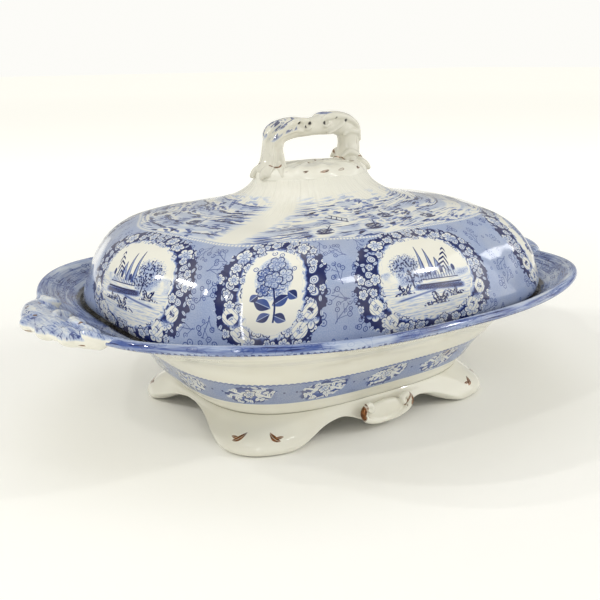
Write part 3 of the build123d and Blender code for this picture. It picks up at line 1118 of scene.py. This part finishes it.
def make_bowl_material():
    """Bowl: streaked lip with a toothed hem, leaf band, moulded line, painted shade on the ledge."""
    material, shader = start_material("printed_bowl")
    u, v, where = glaze_coordinates()
    ragged = noise(where, 0.16, 2.0) * 5.0 + noise(where, 1.3, 1.0) * 2.2
    hem = v - (BOWL_RIM_V - 2.6 + ragged)
    rim = both(inside(-hem), inside(v - BOWL_LEDGE_V, 0.2))
    teeth = both(span(hem, -0.2, 2.2, 0.3), stroke(wrap(u, -0.95, 0.95), 1.1)) * 0.85
    slope = ramp(v, BOWL_CREST_V, BOWL_CREST_V + 3.0)
    scrolls = (sprigs(where) * 0.4 + 0.1) * slope
    band = leaf_band(u, v - BOWL_BAND_V, where)
    front = inside(v - BOWL_CREST_V, 1.0) * 0.16
    ink = either(either(rim_streaks(u, v, where) + scrolls + front, teeth) * rim, band)
    outer = inside(v - BOWL_LEDGE_V - 4.0)
    # Painted shade: a mottled dark ring on the ledge and the top of the cavity, for the shadowed gap under
    # the lid's edge.
    shade = noise(where, 0.15, 3.0, 0.7)
    gap_shade = span(v, BOWL_LEDGE_V - 1.0 - shade * 2.0, BOWL_LEDGE_V + 8.6, 0.6)
    painted_shade = gap_shade * (0.7 + ramp(shade, 0.3, 0.6) * 0.28)
    groove = stroke(v - BOWL_MOULD_V, 0.6, 0.5) * -0.6
    set_glaze(shader, cobalt(ink * outer), object_mm(), painted_shade=painted_shade, relief=groove)
    return material


def tick(x, y, turn, long=5.6, wide=0.75):
    """One stroke of a gilder's brush."""
    lx, ly = turned(x, y, turn)
    bend = ly - (lx - long / 2) ** 2.0 * 0.03
    return inside(leaf(lx, bend, long, wide) * -1.0 + 0.3, 0.2)


def make_foot_material():
    """Foot: cream glaze with two strokes of gilt by each corner."""
    material, shader = start_material("gilded_foot")
    u = glaze_coordinates()[0]
    z = body_coordinates()[2]
    quarter = FOOT_GIRTH / 4
    across = [abs(wrap(u - FOOT_CORNER_U * sign, -quarter, quarter)) for sign in (1, -1)]
    away = low(*across)
    gilt = either(tick(away - 4.8, z - 10.6, -26, 9.0, 0.8),
                  tick(away - 9.2, z - 8.8, -2, 4.6, 0.5))
    set_glaze(shader, WHITE, object_mm(), gilt)
    return material


def make_handle_material():
    """End handles: wiped blue on what faces up, bare where it is raised, gilt touches."""
    material, shader = start_material("printed_handle")
    x, y, z = body_coordinates()
    where = object_mm()
    out = abs(x) - RIM_A
    streaks = rim_streaks(y * 1.5 + out * 3.0, out * 1.6 - y * 0.3, where)
    dark = both(stroke(noise(place(y * 0.09, out * 0.3, 2.0), 1.0, 3.0, 0.6, 0.8) - 0.5, 0.02, 0.012),
                ramp(noise(where, 0.07, 1.0), 0.42, 0.5)) * 0.5
    facing = ramp(upward(), 0.05, 0.5)
    raised = ramp(z, LIP_Z + 3.4, LIP_Z + 5.2)
    hollow = both(noise(where, 0.3, 2.0), ramp(z, LIP_Z + 2.6, LIP_Z + 1.0),
                  ramp(upward(), 0.3, 0.8)) * 0.7
    drift = noise(place(y * 0.05, out * 0.16, 6.0), 1.0, 3.0, 0.62, 0.9) * 6.0 - 3.0
    contour = both(stroke(drift, 0.16, 0.05), ramp(noise(where, 0.1, 1.0), 0.32, 0.42)) * 0.8
    ink = either(streaks * 0.9, dark, hollow, contour) * facing * (1.0 - raised * 0.75)
    tx, ty, pick, turn = scatter(where, 1 / 11.0, 0.8)
    dash = tick(*spun(tx, ty, turn * 3.0), 0, 4.4, 0.6) * below(pick, 0.45)
    lip = both(stroke(z - LIP_Z + 3.0, 0.7), ramp(noise(where, 0.12, 2.0), 0.58, 0.62))
    set_glaze(shader, cobalt(ink), where, either(dash * facing, lip))
    return material


def make_loop_material():
    """Loop handle: cream glaze with painted shade over all of it, blue brushwork on one shoulder and a line
    on top, gilt dashes low down, painted shade in the dimples."""
    material, shader = start_material("gilded_loop")
    x, y, z = body_coordinates()
    where = object_mm()
    along, across = x * 0.75 + z * 0.66, z * 0.75 - x * 0.66
    dashes = noise(place(along * 0.1, across * 0.6, y * 0.5), 1.0, 2.0, 0.6)
    brushed = both(ramp(dashes, 0.5, 0.56), inside(x + 13.0, 2.0), inside(150.5 - z, 1.5),
                   ramp(upward(), -0.1, 0.4))
    arch = z - 163.0 + (x - 8.0) ** 2.0 * 0.02
    line = both(stroke(arch, 1.2), stroke(x - 8.0, 12.0), inside(abs(y) - 5.0)) * 0.55
    # Painted shade in the pressed dimples on both faces.
    pits = [inside(length(x - at, z - up) - size * 0.8, 0.35) for at, up, size in DIMPLES]
    tx, ty, pick, turn = scatter(where, 1 / 9.0, 0.8)
    dash = tick(*spun(tx, ty, turn * 3.0), 0, 4.0, 0.5) * below(pick, 0.22)
    low_leaf = both(stroke(z - 137.0 - sin(x * 0.5) * 1.2, 0.55),
                    ramp(noise(where, 0.12, 2.0), 0.5, 0.56))
    gilt = either(dash * inside(z - 150.0, 3.0), low_leaf)
    # Painted shade: the whole loop's colour pulled a quarter of the way to grey-brown, darker than the other
    # white glaze.
    painted_shade_tint = paint(cobalt(either(brushed * 0.9, line)), srgb(150, 142, 118), 0.24)
    set_glaze(shader, painted_shade_tint, where, gilt, either(*pits) * inside(3.0 - abs(y)))
    return material


def make_collar_material():
    """Collar: cream glaze with short gilt ticks along its folds."""
    material, shader = start_material("gilded_collar")
    x, y, z = body_coordinates()
    where = object_mm()
    turn = turn_of(y * 1.6, x)
    at = wrap(turn * 15.0, -3.2, 3.2)
    dash = both(tick(at + 1.8, z - COLLAR_Z + 2.6, 18, 3.6, 0.5),
                ramp(noise(where, 0.06, 2.0), 0.48, 0.54))
    set_glaze(shader, WHITE, where, dash)
    return material


def make_scroll_material():
    """Foot scroll: cream glaze, gilt on the ends of its frame and a brushed line beside them."""
    material, shader = start_material("gilded_scroll")
    x, _, z = body_coordinates()
    where = object_mm()
    out = abs(x)
    curl = both(ramp(out + noise(where, 0.35, 2.0) * 3.0, 16.6, 17.4), inside(7.4 - z, 1.0))
    brush = both(stroke(out - 12.4 - (z - 8.0) * 0.3, 1.0), inside(9.0 - z, 0.8),
                 ramp(noise(where, 0.5, 2.0), 0.4, 0.5))
    set_glaze(shader, WHITE, where, either(curl, brush * 0.9))
    return material


# =============================================================================
# Modelled ornament: clay shapes run together and smoothed
# =============================================================================
def flowing(points, count):
    """Smooth curve through rows of numbers."""
    points = np.array(points, float)
    slopes = np.gradient(points, axis=0)
    at = np.linspace(0, len(points) - 1, count)
    k = np.clip(at.astype(int), 0, len(points) - 2)
    return blended((at - k)[:, None], 1, points[k], slopes[k], points[k + 1], slopes[k + 1])


def drop_specks(mesh):
    """Keep only the largest connected body of a mesh."""
    built = bmesh.new()
    built.from_mesh(mesh)
    seen = set()
    islands = []
    for first in built.verts:
        if first.index in seen:
            continue
        seen.add(first.index)
        island = [first]
        for vert in island:
            for edge in vert.link_edges:
                other = edge.other_vert(vert)
                if other.index not in seen:
                    seen.add(other.index)
                    island.append(other)
        islands.append(island)
    islands.sort(key=len)
    for island in islands[:-1]:
        bmesh.ops.delete(built, geom=island, context="VERTS")
    built.to_mesh(mesh)
    built.free()


STEPS_PER_KEY = 6


class Clay:
    """Ropes and blobs in millimetres, gathered into one modelled piece."""

    def __init__(self):
        self.verts = []
        self.faces = []
        self.pits = []

    def rings(self, rings):
        """Closed shape through rings of equal count, with a point at each end."""
        start = len(self.verts)
        count = len(rings[0])
        for ring in rings:
            self.verts += [tuple(p) for p in ring]
        for r in range(len(rings) - 1):
            self.faces += ring_band(start + r * count, count)
        for r, flip in ((0, True), (len(rings) - 1, False)):
            self.faces += ring_fan(len(self.verts), start + r * count, count, flip)
            self.verts.append(tuple(np.mean(rings[r], 0)))

    def rope(self, rows, at=(0, 0, 0), scale=(1, 1, 1), side=(0, 1, 0), sides=14):
        """Sweep through rows of (x, y, z, half size along side, half size across it).

        The last number is left out where the two half sizes are the same.
        """
        keys = [[a + s * p for a, s, p in zip(at, scale, row)] + [row[3], row[-1]] for row in rows]
        line = flowing(keys, len(keys) * STEPS_PER_KEY)
        centres, sizes = line[:, :3], np.maximum(line[:, 3:], 0.15)
        ahead = np.gradient(centres, axis=0)
        ahead /= np.linalg.norm(ahead, axis=1)[:, None]
        across = np.array(side, float) - ahead * (ahead @ np.array(side, float))[:, None]
        across /= np.linalg.norm(across, axis=1)[:, None]
        third = np.cross(ahead, across)
        turn = np.linspace(0, 2 * np.pi, sides + 1)[:-1]

        def ring(i, shrink=1.0, out=0.0):
            """Ring at one step, made smaller and moved out past an end."""
            centre = centres[i] + ahead[i] * out * sizes[i].min()
            wide, thick = sizes[i] * shrink
            return (centre + np.outer(np.cos(turn), across[i]) * wide
                    + np.outer(np.sin(turn), third[i]) * thick)

        self.rings([ring(0, 0.35, -0.8), ring(0, 0.75, -0.5)] + [ring(i) for i in range(len(centres))]
                   + [ring(-1, 0.75, 0.5), ring(-1, 0.35, 0.8)])

    def blob(self, centre, radii, tilt=0.0):
        """Ellipsoid, turned about Z by tilt degrees."""
        c, s = math.cos(math.radians(tilt)), math.sin(math.radians(tilt))
        columns, rows, tip = 20, 13, 0.12
        turn = np.linspace(0, 2 * np.pi, columns + 1)[:-1]
        rings = []
        for polar in np.linspace(tip, math.pi - tip, rows):
            x = np.cos(turn) * math.sin(polar) * radii[0]
            y = np.sin(turn) * math.sin(polar) * radii[1]
            z = np.full(columns, -math.cos(polar) * radii[2])
            rings.append(np.stack([x * c - y * s, x * s + y * c, z], -1) + np.array(centre, float))
        self.rings(rings)

    def moved(self, change):
        """Put every corner and the middle of every pit where change sends it."""
        self.verts = [change(spot) for spot in self.verts]
        self.pits = [(change(at), radius, depth) for at, radius, depth in self.pits]

    def mirror(self, axis):
        """Flip across one axis."""
        self.moved(lambda spot: tuple(-p if i == axis else p for i, p in enumerate(spot)))
        self.faces = [tuple(reversed(face)) for face in self.faces]

    def lift_beyond(self, start, reach, rise):
        """Lift what lies beyond start along X, by up to rise over reach."""
        def lifted(spot):
            x, y, z = spot
            return x, y, z + rise * min(max((x - start) / reach, 0.0), 1.0)
        self.moved(lifted)

    def piece(self, name, material, voxel, rounds):
        """Run the shapes together, smooth them and press the pits in."""
        rough = bpy.data.meshes.new(name + "_rough")
        rough.from_pydata([tuple(p * MM for p in v) for v in self.verts], [], self.faces)
        holder = bpy.data.objects.new(name + "_rough", rough)
        bpy.context.scene.collection.objects.link(holder)
        fuse = holder.modifiers.new("fuse", "REMESH")
        fuse.mode = "VOXEL"
        fuse.voxel_size = voxel * MM
        ease = holder.modifiers.new("ease", "SMOOTH")
        ease.factor = 0.5
        ease.iterations = rounds
        graph = bpy.context.evaluated_depsgraph_get()
        mesh = bpy.data.meshes.new_from_object(holder.evaluated_get(graph))
        bpy.data.objects.remove(holder)
        bpy.data.meshes.remove(rough)
        mesh.name = name
        drop_specks(mesh)
        count = len(mesh.vertices)
        spots = np.empty(count * 3)
        normals = np.empty(count * 3)
        mesh.vertices.foreach_get("co", spots)
        mesh.vertex_normals.foreach_get("vector", normals)
        spots = spots.reshape(-1, 3)
        normals = normals.reshape(-1, 3)
        for at, radius, depth in self.pits:
            away = np.linalg.norm(spots / MM - np.array(at, float), axis=1)
            spots = spots - normals * (depth * MM * np.exp(-(away / radius) ** 2))[:, None]
        mesh.vertices.foreach_set("co", spots.ravel())
        mesh.materials.clear()
        mesh.update()
        return new_piece(name, mesh, material)


# Pressed dots on the loop handle: x, z and size.
DIMPLES = (
    (-4.6, 158.2, 1.2),
    (5.2, 157.9, 1.3),
    (-11.5, 158.6, 1.0),
    (-7.4, 156.4, 0.9),
    (19.6, 158.6, 1.1),
    (12.6, 160.4, 0.7),
)
LOOP_SPINE = (
    (-27.5, 0, 132.5, 6.5, 7.5),
    (-26.0, 0, 139.0, 5.6, 5.7),
    (-25.0, 0, 146.0, 5.3, 5.4),
    (-22.3, 0, 152.3, 5.5, 5.6),
    (-14.0, 0, 155.2, 5.3, 5.5),
    (-4.0, 0, 155.6, 5.0, 5.0),
    (3.0, 0, 156.2, 5.1, 5.3),
    (10.0, 0, 156.7, 5.6, 6.0),
    (17.0, 0, 156.6, 5.7, 6.1),
    (23.4, 0, 153.6, 5.8, 6.2),
    (25.9, 0, 147.0, 5.8, 6.5),
    (25.6, 0, 140.0, 6.2, 7.2),
    (24.0, 0, 133.0, 6.8, 8.6),
)
# Two flat leaves that wrap the grip from its ends.
LOOP_LEAVES = (
    ((-30.6, 0, 147.0, 1.0, 0.5), (-29.4, 0, 153.6, 3.2, 1.4), (-24.2, 0, 158.2, 4.0, 1.5),
     (-15.0, 0, 160.2, 3.6, 1.5), (-7.0, 0, 160.4, 1.4, 0.9)),
    ((32.0, 0, 147.0, 1.0, 0.5), (30.4, 0, 155.0, 3.4, 1.4), (24.6, 0, 160.4, 4.2, 1.5),
     (15.0, 0, 162.4, 3.8, 1.5), (6.0, 0, 161.6, 1.4, 0.9)),
)
# Leaf edges, curls and roots on both faces of the loop; y is a share of LOOP_SIDE.
LOOP_SIDE = 4.9
LOOP_SCROLLS = (
    ((-28.0, 0.9, 148.0, 0.7), (-23.5, 1, 154.6, 1.5), (-14.5, 1, 159.0, 1.8), (-6.6, 1, 159.6, 1.7),
     (-3.6, 1, 157.2, 1.5), (-6.2, 1.08, 155.4, 1.3), (-8.6, 1.12, 157.0, 0.9)),
    ((-30.0, 0.8, 143.0, 0.6), (-27.0, 1, 149.4, 1.2), (-20.6, 1.04, 153.4, 1.4),
     (-13.0, 1.04, 155.0, 1.2), (-9.0, 1, 153.6, 0.6)),
    ((31.2, 0.9, 147.0, 0.7), (28.0, 1, 156.0, 1.6), (18.0, 1.1, 161.0, 1.9), (8.8, 1.1, 161.2, 1.9),
     (4.6, 1, 158.8, 1.6), (6.0, 1.1, 156.2, 1.4), (9.0, 1.14, 157.4, 0.9)),
    ((8.0, 1.02, 151.6, 0.6), (14.0, 1.1, 154.6, 1.3), (19.0, 1.12, 158.0, 1.4), (23.0, 1, 160.0, 0.7)),
    ((19.4, 0.9, 150.2, 0.7), (23.0, 1.14, 152.6, 1.4), (28.0, 1.1, 151.6, 1.4), (31.6, 0.8, 149.0, 0.7)),
    ((17.0, 1, 137.6, 0.8), (22.0, 1.2, 141.0, 1.7), (28.0, 1.2, 138.6, 1.8), (33.0, 1, 134.0, 1.0)),
    ((-28.6, 0.8, 150.0, 0.8), (-28.4, 1, 144.0, 1.3), (-29.6, 1.1, 137.0, 1.6), (-33.0, 1.4, 131.6, 1.8)),
    ((-23.0, 1, 148.0, 0.7), (-23.0, 1.1, 141.0, 1.3), (-22.0, 1.4, 135.0, 1.7), (-18.0, 2.0, 131.8, 1.5)),
    ((-28.0, 0.6, 136.0, 3.0), (-33.6, 0.9, 133.0, 2.6), (-36.4, 1, 130.6, 1.5)),
    ((-25.0, 1, 136.0, 2.6), (-26.5, 1.9, 132.6, 2.4), (-27.5, 2.5, 131.0, 1.4)),
    ((27.0, 0.6, 136.0, 3.2), (33.4, 0.9, 133.0, 2.8), (37.0, 1, 130.6, 1.6)),
    ((24.0, 1, 136.0, 2.8), (25.0, 2.0, 132.6, 2.6), (26.0, 2.6, 131.0, 1.5)),
    ((16.0, 1, 134.6, 1.6), (8.0, 1.7, 133.0, 1.5), (0.0, 1.4, 133.6, 1.0), (-9.0, 1.7, 132.8, 0.8)),
)


def build_loop_handle(material):
    """Pierced loop: two posts and a grip wrapped by two leaf scrolls, on a low saddle."""
    clay = Clay()
    clay.rope(LOOP_SPINE, sides=22)
    clay.blob((-2.0, 0, 131.6), (28.0, 8.0, 6.2))
    for rows in LOOP_LEAVES:
        clay.rope(rows)
    for y in (-LOOP_SIDE, LOOP_SIDE):
        for rows in LOOP_SCROLLS:
            clay.rope(rows, scale=(1, y, 1))
        for at, up, size in DIMPLES:
            clay.pits.append(((at, y * 1.15, up), size * 1.2, 1.3))
        clay.pits.append(((-26.0, y * 1.1, 145.0), 2.4, 0.5))
        clay.pits.append(((27.0, y * 1.1, 145.5), 3.0, 0.7))
    return clay.piece("loop_handle", material, voxel=0.55, rounds=5)


# Heights on the end handles are above the crest of the lip.
TAB_BODY = (
    (146.0, -43.0, -3.2, 5.0, 3.4),
    (151.0, -33.0, -3.4, 8.6, 4.6),
    (154.6, -17.0, -3.4, 10.6, 5.0),
    (156.0, 0, -3.2, 11.2, 5.0),
    (153.4, 16.0, -3.2, 10.0, 4.8),
    (149.6, 29.0, -3.2, 7.2, 4.2),
    (145.0, 39.0, -3.0, 4.0, 3.2),
)
# Scallops: y, x of the tip, half width and half length.
TAB_SHELLS = (
    (0, 163.0, 8.4, 6.6),
    (-16.5, 161.0, 8.2, 6.6),
    (15.0, 158.0, 7.6, 6.0),
    (-31.5, 156.0, 8.0, 6.4),
    (28.0, 151.6, 6.6, 5.2),
)
TAB_SCROLLS = (
    ((145.0, -38.0, 0.4, 1.6), (150.0, -31.0, 1.6, 2.4), (151.0, -23.0, 1.8, 2.5),
     (147.4, -19.6, 1.6, 2.0), (146.0, -23.6, 1.4, 1.2)),
    ((143.6, -46.0, -1.6, 2.2), (148.6, -44.6, -0.4, 2.8), (151.6, -39.6, 0.2, 2.6),
     (148.6, -36.4, 0.4, 1.5)),
    ((139.6, -55.0, 0.2, 1.0), (142.6, -51.0, -0.6, 2.0), (144.6, -47.6, -0.6, 1.6)),
    ((144.0, 33.0, 0.6, 1.5), (148.4, 26.0, 2.0, 2.3), (148.8, 18.6, 2.6, 2.5),
     (145.4, 15.4, 2.4, 2.1), (143.8, 19.0, 2.0, 1.2)),
    ((142.0, 41.0, -1.0, 1.6), (146.2, 38.0, 0.2, 2.2), (148.6, 33.4, 0.2, 1.2)),
    ((146.0, -3.0, 0.6, 1.6), (151.6, -5.0, 1.6, 2.1), (154.6, -9.6, 1.0, 1.9), (151.6, -12.0, 0.8, 1.0)),
)
# Hollows: x, y, height, radius and depth.
TAB_HOLLOWS = (
    (149.6, -14.6, 0.6, 3.4, 2.8),
    (147.0, -29.6, 1.0, 2.4, 2.4),
    (156.0, -25.0, 0.4, 3.0, 1.6),
    (148.6, 9.0, 0.8, 3.4, 2.6),
    (146.2, 22.4, 1.8, 2.2, 2.4),
)


def build_end_handle(name, turned_round, material):
    """Shell-edged tab that carries the lip on: ribs, root scrolls and thumb hollows."""
    clay = Clay()
    crest = (0, 0, LIP_Z)
    clay.rope(TAB_BODY, crest, side=(1, 0, 0), sides=26)
    for y, x, wide, long in TAB_SHELLS:
        clay.blob((x - 0.6, y, LIP_Z - 3.9), (long, wide, 4.3), tilt=-y * 0.55)
        clay.rope(((146.0, y * 0.62, 0.2, 0.8), (x - 4.0, y * 0.92, 0.7, 1.2),
                   (x + 3.6, y * 1.02, -1.4, 0.7)), crest)
        for fan in (-1, 1):
            clay.rope(((147.5, y * 0.66 + fan * 1.8, 0, 0.6), (x - 3.0, y * 0.94 + fan * 4.0, 0.1, 0.9),
                       (x + 1.6, y * 1.02 + fan * 5.2, -1.8, 0.5)), crest)
    for rows in TAB_SCROLLS:
        clay.rope(rows, crest)
    for x, y, up, radius, depth in TAB_HOLLOWS:
        clay.pits.append(((x, y, LIP_Z + up), radius, depth))
    clay.lift_beyond(145.0, 13.0, 2.8)
    clay.mirror(0 if turned_round else 1)
    return clay.piece(name, material, voxel=0.65, rounds=3)


# Rows on the foot scrolls are measured from the middle of the skirt's face there.
SCROLL_FRAME = (
    (-9.4, 0.2, 4.6, 1.0),
    (-13.2, -0.4, 5.4, 1.6),
    (-15.8, -0.6, 1.6, 1.9),
    (-13.6, -0.6, -2.6, 1.8),
    (-7.0, -0.4, -4.9, 1.6),
    (0, -0.2, -5.4, 1.5),
    (7.4, -0.4, -4.7, 1.6),
    (13.8, -0.6, -1.8, 1.9),
    (15.9, -0.6, 2.2, 2.0),
    (13.2, -0.4, 5.8, 1.7),
    (9.4, 0.2, 5.0, 1.0),
)
SCROLL_CURL = (
    (12.6, -0.2, 5.2, 1.3),
    (10.2, -1.0, 3.6, 1.4),
    (11.0, -1.2, 1.6, 1.2),
    (12.8, -0.9, 2.2, 0.8),
)


def build_foot_scroll(name, way, material):
    """Oval panel in a rolled frame that ends in two curls."""
    clay = Clay()
    y = -FOOT_B
    mid = (SCROLL_LOW[2] + SCROLL_HIGH[2]) / 2
    clay.blob((0, y + 1.4, mid), (12.6, 3.4, 5.6))
    clay.rope(SCROLL_FRAME, (0, y, mid))
    for side in (-1, 1):
        clay.rope(SCROLL_CURL, (0, y, mid), (side, 1, 1))
    for x, radius, depth in ((0, 5.0, 0.8), (-5.0, 4.0, 0.5), (5.0, 4.0, 0.5)):
        clay.pits.append(((x, y - 2.0, mid + 0.6), radius, depth))
    if way > 0:
        clay.mirror(1)
    return clay.piece(name, material, voxel=0.4, rounds=4)


def build_collar(material):
    """Low fluted pad between the neck and the loop handle."""
    keys = [
        (35.6, 21.2, 2.2, CROWN_Z - 1.0),
        (35.2, 20.6, 2.2, CROWN_Z + 0.4),
        (34.6, 19.6, 2.2, CROWN_Z + 2.0),
        (33.0, 17.4, 2.2, CROWN_Z + 3.6),
        (29.0, 14.0, 2.2, COLLAR_Z + 0.2),
        (22.0, 10.0, 2.2, COLLAR_Z + 1.0),
        (12.0, 5.0, 2.1, COLLAR_Z + 1.6),
    ]
    angles, along = even_angles((36.0, 21.0, 2.2, 0.0, 0.0, 0.0), 200)
    rows = eased(keys, 0.7)
    points = np.array([plan(row, angles) for row in rows])
    fold = np.sin(11 * angles + 0.6 * np.sin(3 * angles)) * 0.5 + np.sin(23 * angles + 1.0) * 0.2
    strength = np.clip((points[:, :, 2] - CROWN_Z) / 1.6, 0, 1)
    points[:, :, 2] += fold * strength * 0.9
    points[:, :, 0] *= 1 + fold * strength * 0.012
    points[:, :, 1] *= 1 + fold * strength * 0.02
    return skin("collar_pad", points, along, profile_run(points), material)


# =============================================================================
# Assembly
# =============================================================================
def assemble():
    """Build the nine pieces, put each on its body and hide the CAD node it stands for; each row also names a
    slot, which nothing reads.
    """
    scroll = make_scroll_material()
    handle = make_handle_material()
    rows = (
        (build_bowl(make_bowl_material()), "base", "printed_glaze", "tureen_bowl"),
        (build_foot(make_foot_material()), "base", "white_glaze", "pedestal_foot"),
        (build_end_handle("right_handle_shell", False, handle), "base", "printed_glaze", "right_end_handle"),
        (build_end_handle("left_handle_shell", True, handle), "base", "printed_glaze", "left_end_handle"),
        (build_foot_scroll("front_scroll", -1, scroll), "base", "white_glaze", "front_foot_scroll"),
        (build_foot_scroll("back_scroll", 1, scroll), "base", "white_glaze", "back_foot_scroll"),
        (build_lid(make_lid_material()), "lid", "printed_glaze", "lid_cover"),
        (build_collar(make_collar_material()), "lid", "white_glaze", "lid_handle_collar"),
        (build_loop_handle(make_loop_material()), "lid", "white_glaze", "lid_loop_handle"),
    )
    for piece, body, slot, solid in rows:
        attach(piece, body)
        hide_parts(solid)


# =============================================================================
# Floor, light and camera
# =============================================================================
def make_paper():
    """Pale paper, lit from below away from the object as on a light table."""
    material, shader = start_material("paper")
    for name, value in (("Base Color", (*srgb(250, 249, 244), 1)), ("Roughness", 0.9),
                        ("Specular IOR Level", 0.1), ("Emission Color", (*srgb(255, 253, 243), 1))):
        feed(shader.inputs[name], value)
    x, y, _ = body_coordinates()
    away = length(x, y)
    glow = ramp(away, 130.0, 900.0) * 0.45 + ramp(away, 900.0, 5000.0) * 0.08
    feed(shader.inputs["Emission Strength"], glow)
    return material


def build_floor():
    """Wide flat sheet under the object."""
    mesh = bpy.data.meshes.new("floor")
    half = 12.0
    corners = [(x * half, y * half, 0) for x, y in ((-1, -1), (1, -1), (1, 1), (-1, 1))]
    mesh.from_pydata(corners, [], [(0, 1, 2, 3)])
    new_piece("floor", mesh, make_paper())


def softbox(name, place_mm, target_mm, width, depth, power):
    """Rectangular lamp that shines at a target."""
    data = bpy.data.lights.new(name, "AREA")
    data.shape = "RECTANGLE"
    data.size = width
    data.size_y = depth
    data.energy = power
    lamp = bpy.data.objects.new(name, data)
    lamp.location = Vector(place_mm) * MM
    aim = (Vector(target_mm) - Vector(place_mm)).normalized()
    lamp.rotation_euler = aim.to_track_quat("-Z", "Y").to_euler()
    bpy.context.scene.collection.objects.link(lamp)


# The photograph's camera: degrees round, up and rolled, metres away, and what it looks at.
CAMERA_DEGREES = (-34.58, 13.43, -0.69)
CAMERA_AWAY = 0.5071
CAMERA_AIM = (0, 0, 0.075)


def build_camera():
    """Camera where the photograph was taken from."""
    azimuth, elevation, roll = (math.radians(angle) for angle in CAMERA_DEGREES)
    back = Vector((math.sin(azimuth) * math.cos(elevation),
                   -math.cos(azimuth) * math.cos(elevation), math.sin(elevation)))
    data = bpy.data.cameras.new("camera")
    camera = bpy.data.objects.new("camera", data)
    data.sensor_width = 36
    data.lens = 52.5
    data.shift_x = -0.02125
    data.shift_y = -0.0544
    data.clip_start = 0.01
    camera.location = Vector(CAMERA_AIM) + back * CAMERA_AWAY
    turn = (-back).to_track_quat("-Z", "Y").to_matrix() @ Matrix.Rotation(roll, 3, "Z")
    camera.rotation_euler = turn.to_euler()
    bpy.context.scene.collection.objects.link(camera)
    bpy.context.scene.camera = camera


def build_light():
    """White surroundings, dimmer as a light than as a background, and soft lamps."""
    scene = bpy.context.scene
    scene.view_settings.view_transform = "Standard"
    world = bpy.data.worlds.new("studio")
    scene.world = world
    world.use_nodes = True
    Sheet.tree = world.node_tree
    sky = world.node_tree.nodes["Background"].inputs
    sky[0].default_value = (1.0, 0.992, 0.955, 1)
    path = node("ShaderNodeLightPath")
    seen = Expr(path.outputs["Is Camera Ray"])
    feed(sky[1], seen * (BACKGROUND - AMBIENT) + AMBIENT)
    for name, spot, aim, wide, tall, power in LAMPS:
        softbox(name, spot, aim, wide, tall, power)


BACKGROUND = 0.98
AMBIENT = 0.5
# name, place and aim in millimetres, width and height in metres, watts
LAMPS = (
    ("ceiling", (0, 200, 1800), (0, 0, 60), 1.4, 1.4, 5.0),
    ("window_left", (-1160, 630, 910), (-105, -55, 90), 0.02, 0.08, 2.6),
    ("window_right", (-1240, 370, 964), (-105, -55, 90), 0.03, 0.08, 3.0),
    ("window_side", (-1100, -390, 1160), (-98, -74, 90), 0.07, 0.07, 2.0),
    ("lamp", (986, -966, 815), (2, -96, 92), 0.035, 0.05, 3.0),
    ("front_strip", (320, -1100, 1142), (-40, -92, 93), 0.16, 0.14, 0.8),
    ("right_soft", (1450, -342, 572), (50, -90, 92), 0.1, 0.13, 0.22),
    ("right_fill", (1500, -1100, 700), (60, -40, 60), 1.3, 1.0, 6.0),
    ("tall_strip", (-730, -950, 450), (-90, -80, 60), 0.05, 0.9, 2.0),
)


assemble()
build_floor()
build_camera()
build_light()
